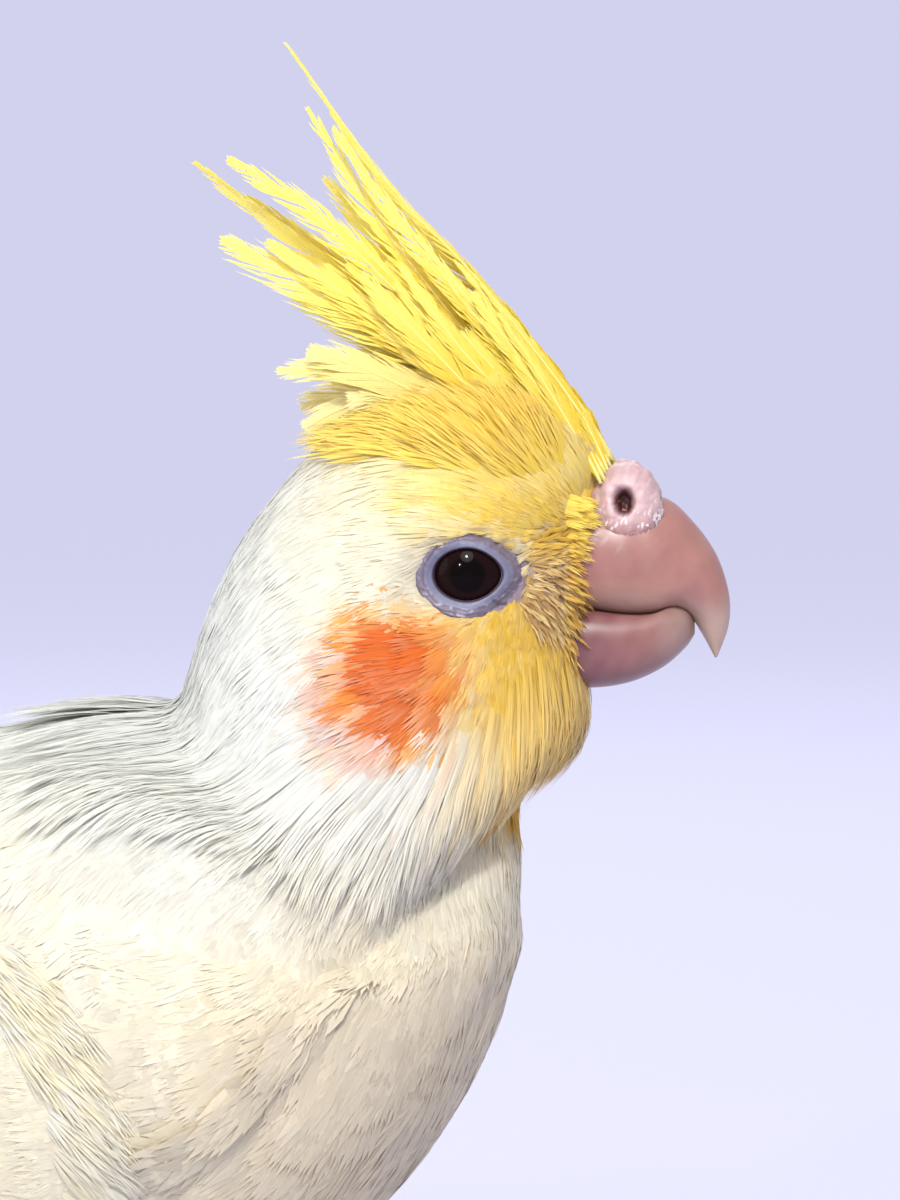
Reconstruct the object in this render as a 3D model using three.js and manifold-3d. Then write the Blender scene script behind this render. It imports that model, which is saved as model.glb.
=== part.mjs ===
// A life-size lutino cockatiel, standing, with its head turned a little to its left.
// Millimetres. +X runs forward along the body, +Y to the bird's left, +Z up from the floor.
import * as THREE from "three";
import { mergeVertices } from "three/addons/utils/BufferGeometryUtils.js";
import Module from "manifold-3d";

const wasm = await Module();
wasm.setup();

// Driving dimensions of the whole bird
const GAP = 0.3; // between touching pieces
const EYE_HEIGHT = 96; // eye centre above the floor
const NECK_PIVOT_X = 95; // upright axis on which the head turns
const EYE_AHEAD = 14; // eye centre ahead of that axis
const HEAD_YAW = THREE.MathUtils.degToRad(18);
const TURN_LOW = -40; // the turn grows from here up the neck, from the eye's level
const TURN_HIGH = -14;
const TAIL_TIP_X = -128.3;
const TAIL_TIP_Z = 17;

// Head parts, measured from the eye's centre in the head's own plane
const EYEBALL_RADIUS = 4.1;
const EYEBALL_SIDE = 7.55; // eyeball centre from the head's middle plane
const LID_OPENING = 2.75; // half the length of the open eye
const LID_RING = 4.3; // half the length of the bare ring round it
const NECK_CUT = { x: -6, z: -11, pitch: 0.36 }; // the head is parted from the neck on this slope
const BILL_ROOT_X = 8.2;

// Feet
const FOOT_X = 65;
const FOOT_SIDE = 14.5;
const ANKLE = new THREE.Vector3(57.5, 14.8, 17);
const TOE_RADIUS = 1.75;
const TOE_AXIS_HEIGHT = 1.4; // lower than the radius, which leaves a small flat under each toe
const CLAW_LENGTH = 5.2;

const v3 = (x, y, z) => new THREE.Vector3(x, y, z);
const smooth = (low, high, x) => THREE.MathUtils.smoothstep(x, low, high);
const mix = THREE.MathUtils.lerp;

// Value of a smooth curve through evenly spaced numbers, at u from 0 to 1
function along(values, u) {
  const curve = new THREE.SplineCurve(values.map((y, i) => new THREE.Vector2(i, y)));
  return curve.getPoint(u).y;
}

// A closed solid from points and triangles, turned so that its faces point out
function solidFrom(points, triangles) {
  const data = new Float32Array(points.flatMap((p) => [p.x, p.y, p.z]));
  const build = (faces) =>
    new wasm.Manifold(
      new wasm.Mesh({ numProp: 3, vertProperties: data, triVerts: new Uint32Array(faces.flat()) }),
    );
  const made = build(triangles);
  return made.volume() >= 0 ? made : build(triangles.map(([a, b, c]) => [a, c, b]));
}

// A three.js geometry as a solid
function solidOf(geometry) {
  const bare = geometry.clone();
  bare.deleteAttribute("normal");
  bare.deleteAttribute("uv");
  const merged = mergeVertices(bare, 1e-4);
  const position = merged.getAttribute("position");
  const points = Array.from({ length: position.count }, (_, i) => v3().fromBufferAttribute(position, i));
  const index = merged.index.array;
  const triangles = [];
  for (let i = 0; i < index.length; i += 3) {
    triangles.push([index[i], index[i + 1], index[i + 2]]);
  }
  return solidFrom(points, triangles);
}

// A solid lofted through rings of points, its two ends closed by a fan
function loft(rings) {
  const count = rings[0].length;
  const points = rings.flat();
  const triangles = [];
  for (let r = 0; r + 1 < rings.length; r++) {
    for (let i = 0; i < count; i++) {
      const j = (i + 1) % count;
      const [a, b, c, d] = [r * count + i, r * count + j, (r + 1) * count + j, (r + 1) * count + i];
      triangles.push([a, b, c], [a, c, d]);
    }
  }
  const middle = (ring) => ring.reduce((sum, p) => sum.add(p), v3()).divideScalar(count);
  const last = (rings.length - 1) * count;
  points.push(middle(rings[0]), middle(rings[rings.length - 1]));
  for (let i = 0; i < count; i++) {
    const j = (i + 1) % count;
    triangles.push([j, i, points.length - 2], [last + i, last + j, points.length - 1]);
  }
  return solidFrom(points, triangles);
}

const union = (solids) => solids.reduce((whole, one) => whole.add(one));

// Only the largest closed surface of a solid
function largest(solid) {
  const bodies = solid.decompose();
  return bodies.reduce((best, body) => (body.volume() > best.volume() ? body : best));
}

// One ring between two outline points of a middle plane. Angle 0 is at the first point, and the
// ring narrows towards it by egg.
function ringBetween(first, second, halfWidth, { count, grow = 0, egg = 0, square = 2 }) {
  const centre = first.clone().add(second).multiplyScalar(0.5);
  const reach = first.clone().sub(second).multiplyScalar(0.5);
  const half = reach.length() + grow;
  reach.normalize();
  const power = 2 / square;
  return Array.from({ length: count }, (_, i) => {
    const angle = (2 * Math.PI * i) / count;
    const c = Math.cos(angle);
    const s = Math.sin(angle);
    const out = Math.sign(c) * Math.abs(c) ** power * half;
    const side = Math.sign(s) * Math.abs(s) ** power * (halfWidth + grow) * (1 - egg * Math.max(0, c));
    return centre.clone().addScaledVector(reach, out).add(v3(0, side, 0));
  });
}

// Rings along two outline curves in the middle plane, with a curve of half widths
function outlineRings(firstLine, secondLine, halfWidths, stations, options) {
  const curveOf = (line) => new THREE.SplineCurve(line.map(([x, z]) => new THREE.Vector2(x, z)));
  const first = curveOf(firstLine);
  const second = curveOf(secondLine);
  return stations.map((u) => {
    const a = first.getPoint(u);
    const b = second.getPoint(u);
    return ringBetween(v3(a.x, 0, a.y), v3(b.x, 0, b.y), along(halfWidths, u), options);
  });
}

const evenly = (count, from = 0, to = 1) =>
  Array.from({ length: count }, (_, i) => mix(from, to, i / (count - 1)));

// From the head's plane, measured from the eye's centre, to the bird's place. The neck twists below.
function placeHead(p) {
  const yaw = HEAD_YAW * smooth(TURN_LOW, TURN_HIGH, p.z);
  const ahead = p.x + EYE_AHEAD;
  return v3(
    NECK_PIVOT_X + ahead * Math.cos(yaw) - p.y * Math.sin(yaw),
    ahead * Math.sin(yaw) + p.y * Math.cos(yaw),
    EYE_HEIGHT + p.z,
  );
}

// The same for what lies clear of the twist
function placeRigid(p) {
  const ahead = p.x + EYE_AHEAD;
  return v3(
    NECK_PIVOT_X + ahead * Math.cos(HEAD_YAW) - p.y * Math.sin(HEAD_YAW),
    ahead * Math.sin(HEAD_YAW) + p.y * Math.cos(HEAD_YAW),
    EYE_HEIGHT + p.z,
  );
}

// A three.js geometry made in the head's plane, as a solid in its place
function placedSolid(geometry, place) {
  const position = geometry.getAttribute("position");
  for (let i = 0; i < position.count; i++) {
    const p = place(v3().fromBufferAttribute(position, i));
    position.setXYZ(i, p.x, p.y, p.z);
  }
  return solidOf(geometry);
}

const headLoft = (rings) => loft(rings.map((ring) => ring.map(placeHead)));

// Torso: back line and belly line from the root of the tail to the breast
const BACK_LINE = [
  [-12, 58.5], [0, 62.5], [20, 68.5], [45, 76], [66, 82], [83, 84.5], [97, 81.5], [108, 76],
  [114.4, 67.5],
];
const BELLY_LINE = [
  [-12, 48], [2, 45], [22, 38.5], [45, 31.5], [67, 28.5], [85, 31], [99, 39.5], [108.5, 51],
  [113.6, 63],
];
const TORSO_WIDTHS = [8.5, 12.5, 18.5, 23, 25.3, 25.6, 22.6, 15.5, 5];
const TORSO_RING = { count: 20, square: 2.1 };
const TORSO_STATIONS = evenly(16);
const TORSO_LENGTH = 126; // from its rear end to the breast

const torsoRings = (grow) =>
  outlineRings(BACK_LINE, BELLY_LINE, TORSO_WIDTHS, TORSO_STATIONS, { ...TORSO_RING, grow });

// A point over the torso's surface: u from the tail's root to the breast, angle from the back down
// the side to the belly in radians, lifted by height. side is 1 on the left and -1 on the right.
function overTorso(u, angle, height, side) {
  const back = new THREE.SplineCurve(BACK_LINE.map(([x, z]) => new THREE.Vector2(x, z))).getPoint(u);
  const belly = new THREE.SplineCurve(BELLY_LINE.map(([x, z]) => new THREE.Vector2(x, z))).getPoint(u);
  const reach = v3(back.x - belly.x, 0, back.y - belly.y);
  const half = reach.length() / 2 + height;
  const power = 2 / TORSO_RING.square;
  const c = Math.cos(angle);
  const s = Math.sin(angle);
  return v3((back.x + belly.x) / 2, 0, (back.y + belly.y) / 2)
    .addScaledVector(reach.normalize(), Math.sign(c) * Math.abs(c) ** power * half)
    .add(v3(0, side * Math.abs(s) ** power * (along(TORSO_WIDTHS, u) + height), 0));
}

// Neck and head: front line and nape line from inside the breast to the crown, eye's level at 0
const FRONT_LINE = [
  [-4, -44], [1, -36], [4.6, -28], [6.6, -20], [9, -12], [9.9, -5], [10.2, 2], [11.7, 7.5],
  [10.6, 11], [6.2, 13.4], [1.5, 14.1],
];
const NAPE_LINE = [
  [-24, -46], [-26, -38], [-26.6, -30], [-25.4, -21], [-23.6, -12], [-21.9, -5], [-19, 2],
  [-15, 7.5], [-11.6, 11], [-7.6, 13.2], [-3.5, 14.1],
];
const HEAD_WIDTHS = [11, 14, 16, 16.8, 16.2, 14.5, 12.8, 11.5, 9.8, 7, 2.6];
const HEAD_RING = { count: 20, egg: 0.2, square: 2.15 };

const headRings = (grow) =>
  outlineRings(FRONT_LINE, NAPE_LINE, HEAD_WIDTHS, evenly(16), { ...HEAD_RING, grow });

// All the space under the slope that parts the head from the neck, raised by a shift
function underNeckCut(shift) {
  const block = new THREE.BoxGeometry(160, 160, 80);
  block.translate(0, 0, shift - 40);
  block.rotateY(NECK_CUT.pitch);
  block.translate(NECK_CUT.x, 0, NECK_CUT.z);
  return placedSolid(block, placeRigid);
}

// All the space ahead of a plane across the head, at x from the eye's centre
function aheadOf(x) {
  const block = new THREE.BoxGeometry(80, 90, 90);
  block.translate(x + 40, 0, 0);
  return placedSolid(block, placeRigid);
}

// An ellipsoid in the head's plane, from its centre and radii, tilted in that plane by pitch
function headEllipsoid(centre, radii, pitch = 0, segments = 14) {
  const ball = new THREE.SphereGeometry(1, segments, Math.round(segments * 0.6));
  ball.scale(radii.x, radii.y, radii.z);
  ball.rotateY(pitch);
  ball.translate(centre.x, centre.y, centre.z);
  return placedSolid(ball, placeHead);
}

// A flat feather vane along a curve of points. normal is the way that its upper face looks. Its
// section is a thin lozenge, and both faces are split into triangles alike.
function vane(path, normal, width, thickness, { steps = 4, place = (p) => p, blunt = 0.55, roll = 0 } = {}) {
  const curve = path.length > 2 ? new THREE.CatmullRomCurve3(path) : new THREE.LineCurve3(...path);
  const points = [];
  for (let i = 0; i < steps; i++) {
    const s = i / steps;
    const centre = curve.getPoint(s);
    const ahead = curve.getTangent(s);
    const across = v3().crossVectors(normal, ahead).normalize().applyAxisAngle(ahead, roll);
    const up = v3().crossVectors(ahead, across).normalize();
    const full = mix(0.62, 1, smooth(0, 0.4, s));
    const half = (width / 2) * full * (1 - smooth(blunt, 1.25, s) * 0.9);
    const thick = (thickness / 2) * mix(1, 0.75, s);
    for (const [a, b] of [[-half, 0], [0, thick], [half, 0], [0, -thick]]) {
      points.push(centre.clone().addScaledVector(across, a).addScaledVector(up, b));
    }
  }
  points.push(curve.getPoint(1));
  const tip = points.length - 1;
  const triangles = [[0, 1, 3], [1, 2, 3]];
  const last = (steps - 1) * 4;
  for (let i = 0; i + 1 < steps; i++) {
    const [l, t, r, b] = [0, 1, 2, 3].map((k) => i * 4 + k);
    const [l2, t2, r2, b2] = [4, 5, 6, 7].map((k) => i * 4 + k);
    triangles.push([l, l2, t2], [l, t2, t], [r, t2, r2], [r, t, t2]);
    triangles.push([l, b2, l2], [l, b, b2], [r, r2, b2], [r, b2, b]);
  }
  triangles.push([last, tip, last + 1], [last + 1, tip, last + 2]);
  triangles.push([last + 2, tip, last + 3], [last + 3, tip, last]);
  return solidFrom(points.map(place), triangles);
}

// Upper bill: ridge line and cutting edge from the root to the hooked tip
const RIDGE_LINE = [
  [7, 6], [12.2, 6], [16.1, 5.6], [18.5, 3.6], [20.4, 0.9], [21.4, -2.2], [21.4, -4.8],
  [20.5, -7.4],
];
const CUTTING_LINE = [
  [6.2, -3.4], [9.5, -3.6], [12.5, -4], [14.9, -4], [16.8, -3.4], [18.1, -3.9], [19.2, -5.5],
  [20.3, -7.5],
];
const UPPER_BILL_WIDTHS = [4.8, 5.1, 4.9, 4.3, 3.5, 2.6, 1.5, 0.25];

const upperBillRings = (grow) =>
  outlineRings(RIDGE_LINE, CUTTING_LINE, UPPER_BILL_WIDTHS, evenly(11), {
    count: 12, square: 2.3, egg: 0.1, grow,
  });

// Lower bill: a deep scoop whose rim closes against the upper bill
const LOWER_RIM = [[6.4, -2.4], [10, -2.6], [13.4, -2.9], [16.2, -2.7], [17.9, -3.3], [18.6, -4.4]];
const LOWER_KEEL = [[6, -9.4], [9.8, -9.9], [13.1, -9.5], [15.9, -8.3], [17.8, -6.7], [18.6, -5.6]];
const LOWER_BILL_WIDTHS = [4.5, 4.7, 4.4, 3.6, 2.3, 0.8];

const lowerBillRings = (grow) =>
  outlineRings(LOWER_RIM, LOWER_KEEL, LOWER_BILL_WIDTHS, evenly(8), { count: 12, square: 2.5, grow });

// Cere: two soft lobes over the root of the bill, each with a nostril
const CERE_LOBE = v3(12.9, 2.9, 5);
const CERE_RADII = v3(3, 2.7, 3.6);
const NOSTRIL = v3(12.6, 5.2, 5.5);
const NOSTRIL_RADII = v3(0.9, 1.6, 1.25);

function cereLobes(grow) {
  const lobe = (side) =>
    headEllipsoid(
      v3(CERE_LOBE.x, side * CERE_LOBE.y, CERE_LOBE.z), CERE_RADII.clone().addScalar(grow), 0.25, 9,
    );
  const bridge = headEllipsoid(v3(12.5, 0, 4.9), v3(3.2, 3.2, 3.2).addScalar(grow), 0, 8);
  return union([lobe(1), lobe(-1), bridge]);
}

// The open cup of each eye, its bare ring and the ball that it holds
const eyeCentre = (side) => v3(0, side * EYEBALL_SIDE, 0);

function eyeball(side, grow) {
  return headEllipsoid(eyeCentre(side), v3(1, 1, 1).multiplyScalar(EYEBALL_RADIUS + grow), 0, 14);
}

// The bare ring stands round the eyeball as a flattened collar, open where the eye looks out
function eyeRing(side) {
  const collar = headEllipsoid(
    v3(0.2, side * (EYEBALL_SIDE + 1.55), 0), v3(LID_RING, 3.3, 3.5), 0, 12);
  const opening = headEllipsoid(
    v3(0, side * (EYEBALL_SIDE + 4.5), 0), v3(LID_OPENING, 4, LID_OPENING * 0.8), 0, 12);
  return collar.subtract(eyeball(side, GAP)).subtract(opening);
}

// The shallow socket that lets the whole ring be seen from the side
function eyeSocket(side) {
  return headEllipsoid(v3(-0.8, side * (EYEBALL_SIDE + 6.8), 0.1), v3(6.8, 3.4, 5.4), 0, 14);
}

function eyeCup(side) {
  return headEllipsoid(
    v3(0.2, side * (EYEBALL_SIDE + 1.55), 0), v3(LID_RING + GAP, 3.3 + GAP, 3.5 + GAP), 0, 12);
}

// Crest feathers by row, front to back, as a pair leaning over the middle and, where middle is set,
// one between them: root on the brow, bow and tip in the head's plane, and the pair's spread
const CREST_ROWS = [
  { root: [10.6, 9.2], bow: [3.4, 22], tip: [-15.2, 44.2], spread: 0.8, width: 5.6, middle: true },
  { root: [9, 10.2], bow: [0.6, 21], tip: [-14.2, 36.8], spread: 1.6, width: 6.4, middle: false },
  { root: [7.6, 10.8], bow: [-2.2, 19.8], tip: [-20, 32.9], spread: 2.3, width: 6.8, middle: true },
  { root: [5.2, 11.2], bow: [-3.8, 17.2], tip: [-19.4, 26.6], spread: 3, width: 7, middle: false },
  { root: [2, 11.4], bow: [-5.2, 14.6], tip: [-14.4, 16.4], spread: 4, width: 6.6, middle: false },
];
const CREST_ROOT_SPREAD = 1.9;
const CREST_CAP = { centre: [4.4, 12.2], radii: [8.4, 6.4, 3.6], pitch: 0.12 };
const CREST_VANE = 0.75; // thickness

const crestCap = (grow) =>
  headEllipsoid(
    v3(CREST_CAP.centre[0], 0, CREST_CAP.centre[1]),
    v3(...CREST_CAP.radii).addScalar(grow), CREST_CAP.pitch, 12);

function crestFeather(row, side) {
  const shorter = side ? 0.93 : 1;
  const reach = (to) => [mix(row.root[0], to[0], shorter), mix(row.root[1], to[1], shorter)];
  const [bow, tip] = [reach(row.bow), reach(row.tip)];
  const path = [
    v3(row.root[0], side * CREST_ROOT_SPREAD, row.root[1]),
    v3(bow[0], side * mix(CREST_ROOT_SPREAD, row.spread, 0.6), bow[1]),
    v3(tip[0], side * row.spread, tip[1]),
  ];
  const normal = side ? v3(0.4, side, 0.4).normalize() : v3(0.7, 0, 0.7);
  return vane(path, normal, row.width, CREST_VANE, { steps: 3, place: placeHead, blunt: 0.5 });
}

const crestFeathers = () =>
  CREST_ROWS.flatMap((row) => (row.middle ? [1, 0, -1] : [1, -1]).map((side) => crestFeather(row, side)));

// The crest's feathers stand on a cap let into the crown, and clear the rest of the head
function crest() {
  const base = crestCap(0).intersect(headLoft(headRings(0.5)));
  const clear = headLoft(headRings(GAP)).subtract(crestCap(0));
  return union([base, ...crestFeathers()]).subtract(clear);
}

// Wing: a shell that hugs the torso's side, with tiers of feathers rooted in it
const WING_FRONT = 0.865; // u of the bend of the wing
const WING_BACK = 0.2; // u of the shell's rear edge
const WING_THICKNESS = 2.7;
const WING_UPPER = [0.6, 0.45, 0.5, 0.74, 1.05]; // angle of the upper edge from rear to front
const WING_LOWER = [1.75, 1.95, 2.02, 2.0, 1.85]; // angle of the lower edge

function wingShell(side) {
  const stations = 9;
  const across = 6;
  const rings = [];
  for (let i = 0; i < stations; i++) {
    const f = Math.sin((i / (stations - 1)) * (Math.PI / 2)); // closer together towards the bend
    const u = mix(WING_BACK, WING_FRONT, f);
    const round = Math.sqrt(Math.max(0, 1 - smooth(0.72, 1, f) ** 2 * 0.985));
    const middle = (along(WING_UPPER, f) + along(WING_LOWER, f)) / 2;
    const half = ((along(WING_LOWER, f) - along(WING_UPPER, f)) / 2) * round;
    const high = [];
    const low = [];
    for (let k = 0; k < across; k++) {
      const t = (2 * k) / (across - 1) - 1;
      const angle = middle + half * t;
      const swell = Math.sqrt(Math.max(0, 1 - t ** 2)) * round ** 0.5;
      const rear = mix(0.45, 1, smooth(0, 0.35, f));
      high.push(overTorso(u, angle, 0.9 + (WING_THICKNESS - 0.9) * swell * rear, side));
      low.push(overTorso(u, angle, 0.36, side));
    }
    rings.push([...high, ...low.reverse()]);
  }
  return loft(rings);
}

// The tiers of the folded wing: median coverts, greater coverts and secondaries. Their roots run down
// the shell between two angles, and the feathers sweep back over it at a height above the torso.
const WING_TIERS = [
  { u: [0.6, 0.64], angle: [0.82, 1.8], count: 4, length: 21, width: 14, height: 3.5, drop: 0.06, steps: 3 },
  { u: [0.47, 0.51], angle: [0.7, 1.8], count: 6, length: 30, width: 12, height: 3, drop: 0.03, steps: 3 },
  { u: [0.3, 0.34], angle: [0.62, 1.6], count: 5, length: 46, width: 12, height: 2.4, drop: -0.05, steps: 3 },
];
const VANE_THICKNESS = 0.7;
const VANE_ROOT_HEIGHT = 0.95; // over the torso, well inside the shell
const VANE_ROLL = 0.05; // each feather of the wing tilts so that its edge lies over the next one

function wingTier(tier, side) {
  const vanes = [];
  for (let i = 0; i < tier.count; i++) {
    const t = i / (tier.count - 1);
    const u = mix(tier.u[0], tier.u[1], Math.sin(t * Math.PI));
    const angle = mix(tier.angle[0], tier.angle[1], t);
    const swing = tier.drop * (t - 0.5) * 2;
    const root = overTorso(u, angle, VANE_ROOT_HEIGHT, side);
    const above = overTorso(u, angle, VANE_ROOT_HEIGHT + 5, side);
    const reach = (share) => {
      const back = u - (share * tier.length) / TORSO_LENGTH;
      return back > 0 ? overTorso(back, angle + swing * share, tier.height - 0.6 * share, side) : null;
    };
    const middle = reach(0.5);
    const onward = middle.clone().addScaledVector(middle.clone().sub(root).normalize(), tier.length * 0.5);
    const end = reach(1) ?? onward;
    const normal = above.sub(root).normalize();
    const shape = { steps: tier.steps, blunt: 0.7, roll: -side * VANE_ROLL };
    vanes.push(vane([root, middle, end], normal, tier.width, VANE_THICKNESS, shape));
  }
  return vanes;
}

// Primaries: a stack of long narrow feathers from the lower rear edge of the shell to over the tail
const PRIMARY = { count: 5, rootU: 0.36, rootAngle: 1.5, length: 96, shortest: 62, width: 8.4 };
const PRIMARY_TIP = v3(-62, 6, 49.6);

function primaries(side) {
  const vanes = [];
  for (let i = 0; i < PRIMARY.count; i++) {
    const t = i / (PRIMARY.count - 1);
    const root = overTorso(PRIMARY.rootU + 0.03 * t, PRIMARY.rootAngle + 0.3 * t, 1.2, side);
    const share = mix(PRIMARY.shortest / PRIMARY.length, 1, t);
    const tip = v3(PRIMARY_TIP.x, side * PRIMARY_TIP.y, PRIMARY_TIP.z - 2.2 * t);
    const end = root.clone().lerp(tip, share);
    const bow = root.clone().lerp(end, 0.5);
    bow.y += side * mix(1.4, 0.4, t);
    bow.z -= 2.6;
    const normal = v3(0.1, side * 0.86, 0.5).normalize();
    vanes.push(vane([root, bow, end], normal, PRIMARY.width, VANE_THICKNESS, { steps: 3, blunt: 0.5 }));
  }
  return vanes;
}

function wing(side) {
  const feathers = WING_TIERS.flatMap((tier) => wingTier(tier, side));
  const whole = union([wingShell(side), ...feathers, ...primaries(side)]);
  return whole.subtract(loft(torsoRings(GAP))).subtract(tailRoot(GAP)).subtract(headLoft(headRings(GAP)));
}

// Tail: a root that carries on the torso, twelve graduated feathers and two sets of coverts
const TAIL_ROOT_BACK = [[-12.3, 58.4], [-24, 54.6], [-36, 50.2], [-46, 46.4]];
const TAIL_ROOT_BELLY = [[-12.3, 48.1], [-24, 47.2], [-36, 44.8], [-46, 43.2]];
const TAIL_ROOT_WIDTHS = [8.4, 8.2, 7.6, 6.6];
const TAIL_FEATHERS = 6; // each side of the middle
const TAIL_START = v3(-14, 0, 53);
const RECTRIX_WIDTH = 10.5;
const TAIL_SPREAD = 6.6; // outermost tips from the middle

const tailRoot = (grow) =>
  loft(outlineRings(TAIL_ROOT_BACK, TAIL_ROOT_BELLY, TAIL_ROOT_WIDTHS, evenly(5), {
    count: 16, square: 2.2, grow,
  }));

function tailFeathers() {
  const vanes = [];
  for (let i = 0; i < TAIL_FEATHERS; i++) {
    for (const side of [1, -1]) {
      const t = i / (TAIL_FEATHERS - 1);
      const reach = mix(1, 0.52, t ** 0.8);
      const spread = mix(1.1, TAIL_SPREAD, t);
      const under = 1.15 * i + (side > 0 ? 0.55 : 0);
      const tipHeight = mix(TAIL_START.z, TAIL_TIP_Z, reach) - under;
      const tip = v3(mix(TAIL_START.x, TAIL_TIP_X, reach), side * spread, tipHeight);
      const root = v3(TAIL_START.x - 8, side * mix(0.8, 4.6, t), TAIL_START.z - 2.6 - under * 0.4);
      const bow = root.clone().lerp(tip, 0.5).add(v3(0, side * mix(1.2, 2.2, t), -0.6));
      const normal = v3(0.28, side * 0.12, 1).normalize();
      const width = RECTRIX_WIDTH * mix(0.78, 1, t);
      const blunt = i === 0 ? 0.3 : 0.5;
      vanes.push(vane([root, bow, tip], normal, width, VANE_THICKNESS, { steps: 4, blunt }));
    }
  }
  return vanes;
}

// Coverts above and below the root of the tail
const TAIL_COVERTS = [
  { root: [-20, 54.2], tip: [-58, 43.6], spread: 4.4, rootSpread: 4.6, width: 9, count: 3, up: 1 },
  { root: [-14, 57], tip: [-42, 49.8], spread: 5, rootSpread: 4.6, width: 9.5, count: 2, up: 1 },
  { root: [-18, 48.8], tip: [-62, 35.6], spread: 6, rootSpread: 4.6, width: 9.5, count: 3, up: -1 },
];

function tailCoverts() {
  return TAIL_COVERTS.flatMap((set) =>
    Array.from({ length: set.count }, (_, i) => {
      const t = (2 * i) / (set.count - 1) - 1;
      const path = [
        v3(set.root[0], t * set.rootSpread, set.root[1] - set.up * 0.8 * Math.abs(t)),
        v3(
          mix(set.root[0], set.tip[0], 0.5), t * set.spread,
          mix(set.root[1], set.tip[1], 0.46) - set.up * Math.abs(t),
        ),
        v3(mix(set.root[0], set.tip[0], 1 - 0.15 * Math.abs(t)), t * set.spread * 0.9,
          mix(set.root[1], set.tip[1], 1 - 0.15 * Math.abs(t)) - set.up * 1.4 * Math.abs(t)),
      ];
      const normal = v3(0.25, t * 0.35, set.up).normalize();
      return vane(path, normal, set.width, VANE_THICKNESS, { steps: 3, blunt: 0.6 });
    }),
  );
}

// Leg: a feathered thigh out of the belly, a scaly shank and four toes, two forward and two back
const THIGH = { top: v3(70, 13.4, 37), topRadius: 10.5, ankleRadius: 3.1 };
const SHANK_RADIUS = 2.1;
const TOES = [
  { heading: 20, length: 13.5, claw: 1 },
  { heading: -14, length: 18, claw: 1 },
  { heading: 158, length: 9.5, claw: 0.85 },
  { heading: -152, length: 14.5, claw: 0.95 },
];

// Rings round a curve in space, with a radius at each step
function tube(path, radii, count) {
  const curve = new THREE.CatmullRomCurve3(path);
  const steps = radii.length;
  const aside = v3(0, 1, 0);
  return loft(
    radii.map((radius, i) => {
      const s = i / (steps - 1);
      const ahead = curve.getTangent(s);
      const across = v3().crossVectors(ahead, Math.abs(ahead.y) > 0.9 ? v3(1, 0, 0) : aside).normalize();
      const up = v3().crossVectors(ahead, across).normalize();
      return Array.from({ length: count }, (_, k) => {
        const angle = (2 * Math.PI * k) / count;
        return curve.getPoint(s)
          .addScaledVector(across, Math.cos(angle) * radius)
          .addScaledVector(up, Math.sin(angle) * radius);
      });
    }),
  );
}

function thigh(side) {
  const at = (p) => v3(p.x, side * p.y, p.z);
  const top = at(THIGH.top);
  const ankle = at(ANKLE);
  const knee = top.clone().lerp(ankle, 0.5).add(v3(1.2, 0, 0));
  const thicknesses = [0.6, 0.92, 1, 0.86, 0.64, 0.46, THIGH.ankleRadius / THIGH.topRadius];
  const radii = thicknesses.map((r) => r * THIGH.topRadius);
  const whole = tube([top.clone().lerp(ankle, -0.35), top, knee, ankle], radii, 16);
  return largest(whole.subtract(loft(torsoRings(GAP))).subtract(aboveFlank(side)));
}

// The space over the torso's upper side, which a thigh keeps clear of
function aboveFlank(side) {
  const block = new THREE.BoxGeometry(80, 60, 60);
  block.translate(60, side * 20, 43 + 30);
  return solidOf(block);
}

const toeRoot = (side) => v3(FOOT_X, side * FOOT_SIDE, TOE_AXIS_HEIGHT + 0.15);

function toePath(toe, side) {
  const heading = THREE.MathUtils.degToRad(toe.heading) * side;
  const ahead = v3(Math.cos(heading), Math.sin(heading), 0);
  const start = toeRoot(side);
  const end = start.clone().addScaledVector(ahead, toe.length).setZ(TOE_AXIS_HEIGHT);
  const knuckle = start.clone().lerp(end, 0.5).setZ(TOE_AXIS_HEIGHT);
  return { start, knuckle, end, ahead };
}

function foot(side) {
  const ankle = v3(ANKLE.x, side * ANKLE.y, ANKLE.z);
  const below = ankle.clone().lerp(toeRoot(side), 0.12);
  const shin = below.clone().lerp(toeRoot(side), 0.5).add(v3(0.5, 0, 0));
  const shank = tube([below, shin, toeRoot(side)], [1.15, 1, 0.95, 1.3].map((r) => r * SHANK_RADIUS), 8);
  const toes = TOES.map((toe) => {
    const { start, knuckle, end } = toePath(toe, side);
    const radii = [1.05, 1.06, 0.9, 1.02, 0.84, 0.6].map((r) => r * TOE_RADIUS);
    return tube([start, knuckle, end], radii, 8);
  });
  const floor = new THREE.BoxGeometry(120, 120, 10);
  floor.translate(FOOT_X, 0, -5);
  const whole = union([shank, ...toes]).subtract(solidOf(floor));
  return largest(whole.subtract(thigh(side).add(thighEnd(side))));
}

// The gap between the feathered thigh and the bare shank
function thighEnd(side) {
  const ball = new THREE.SphereGeometry(THIGH.ankleRadius + GAP, 14, 9);
  ball.translate(ANKLE.x, side * ANKLE.y, ANKLE.z + 1.1);
  return solidOf(ball);
}

function claw(toe, side) {
  const { end, ahead } = toePath(toe, side);
  const length = CLAW_LENGTH * toe.claw;
  const root = end.clone().addScaledVector(ahead, GAP).setZ(TOE_AXIS_HEIGHT + 0.1);
  const bow = root.clone().addScaledVector(ahead, length * 0.55).setZ(TOE_AXIS_HEIGHT + 0.75);
  const tip = root.clone().addScaledVector(ahead, length).setZ(0.45);
  return tube([root, bow, tip], [0.95, 0.9, 0.6, 0.14], 7);
}

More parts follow.
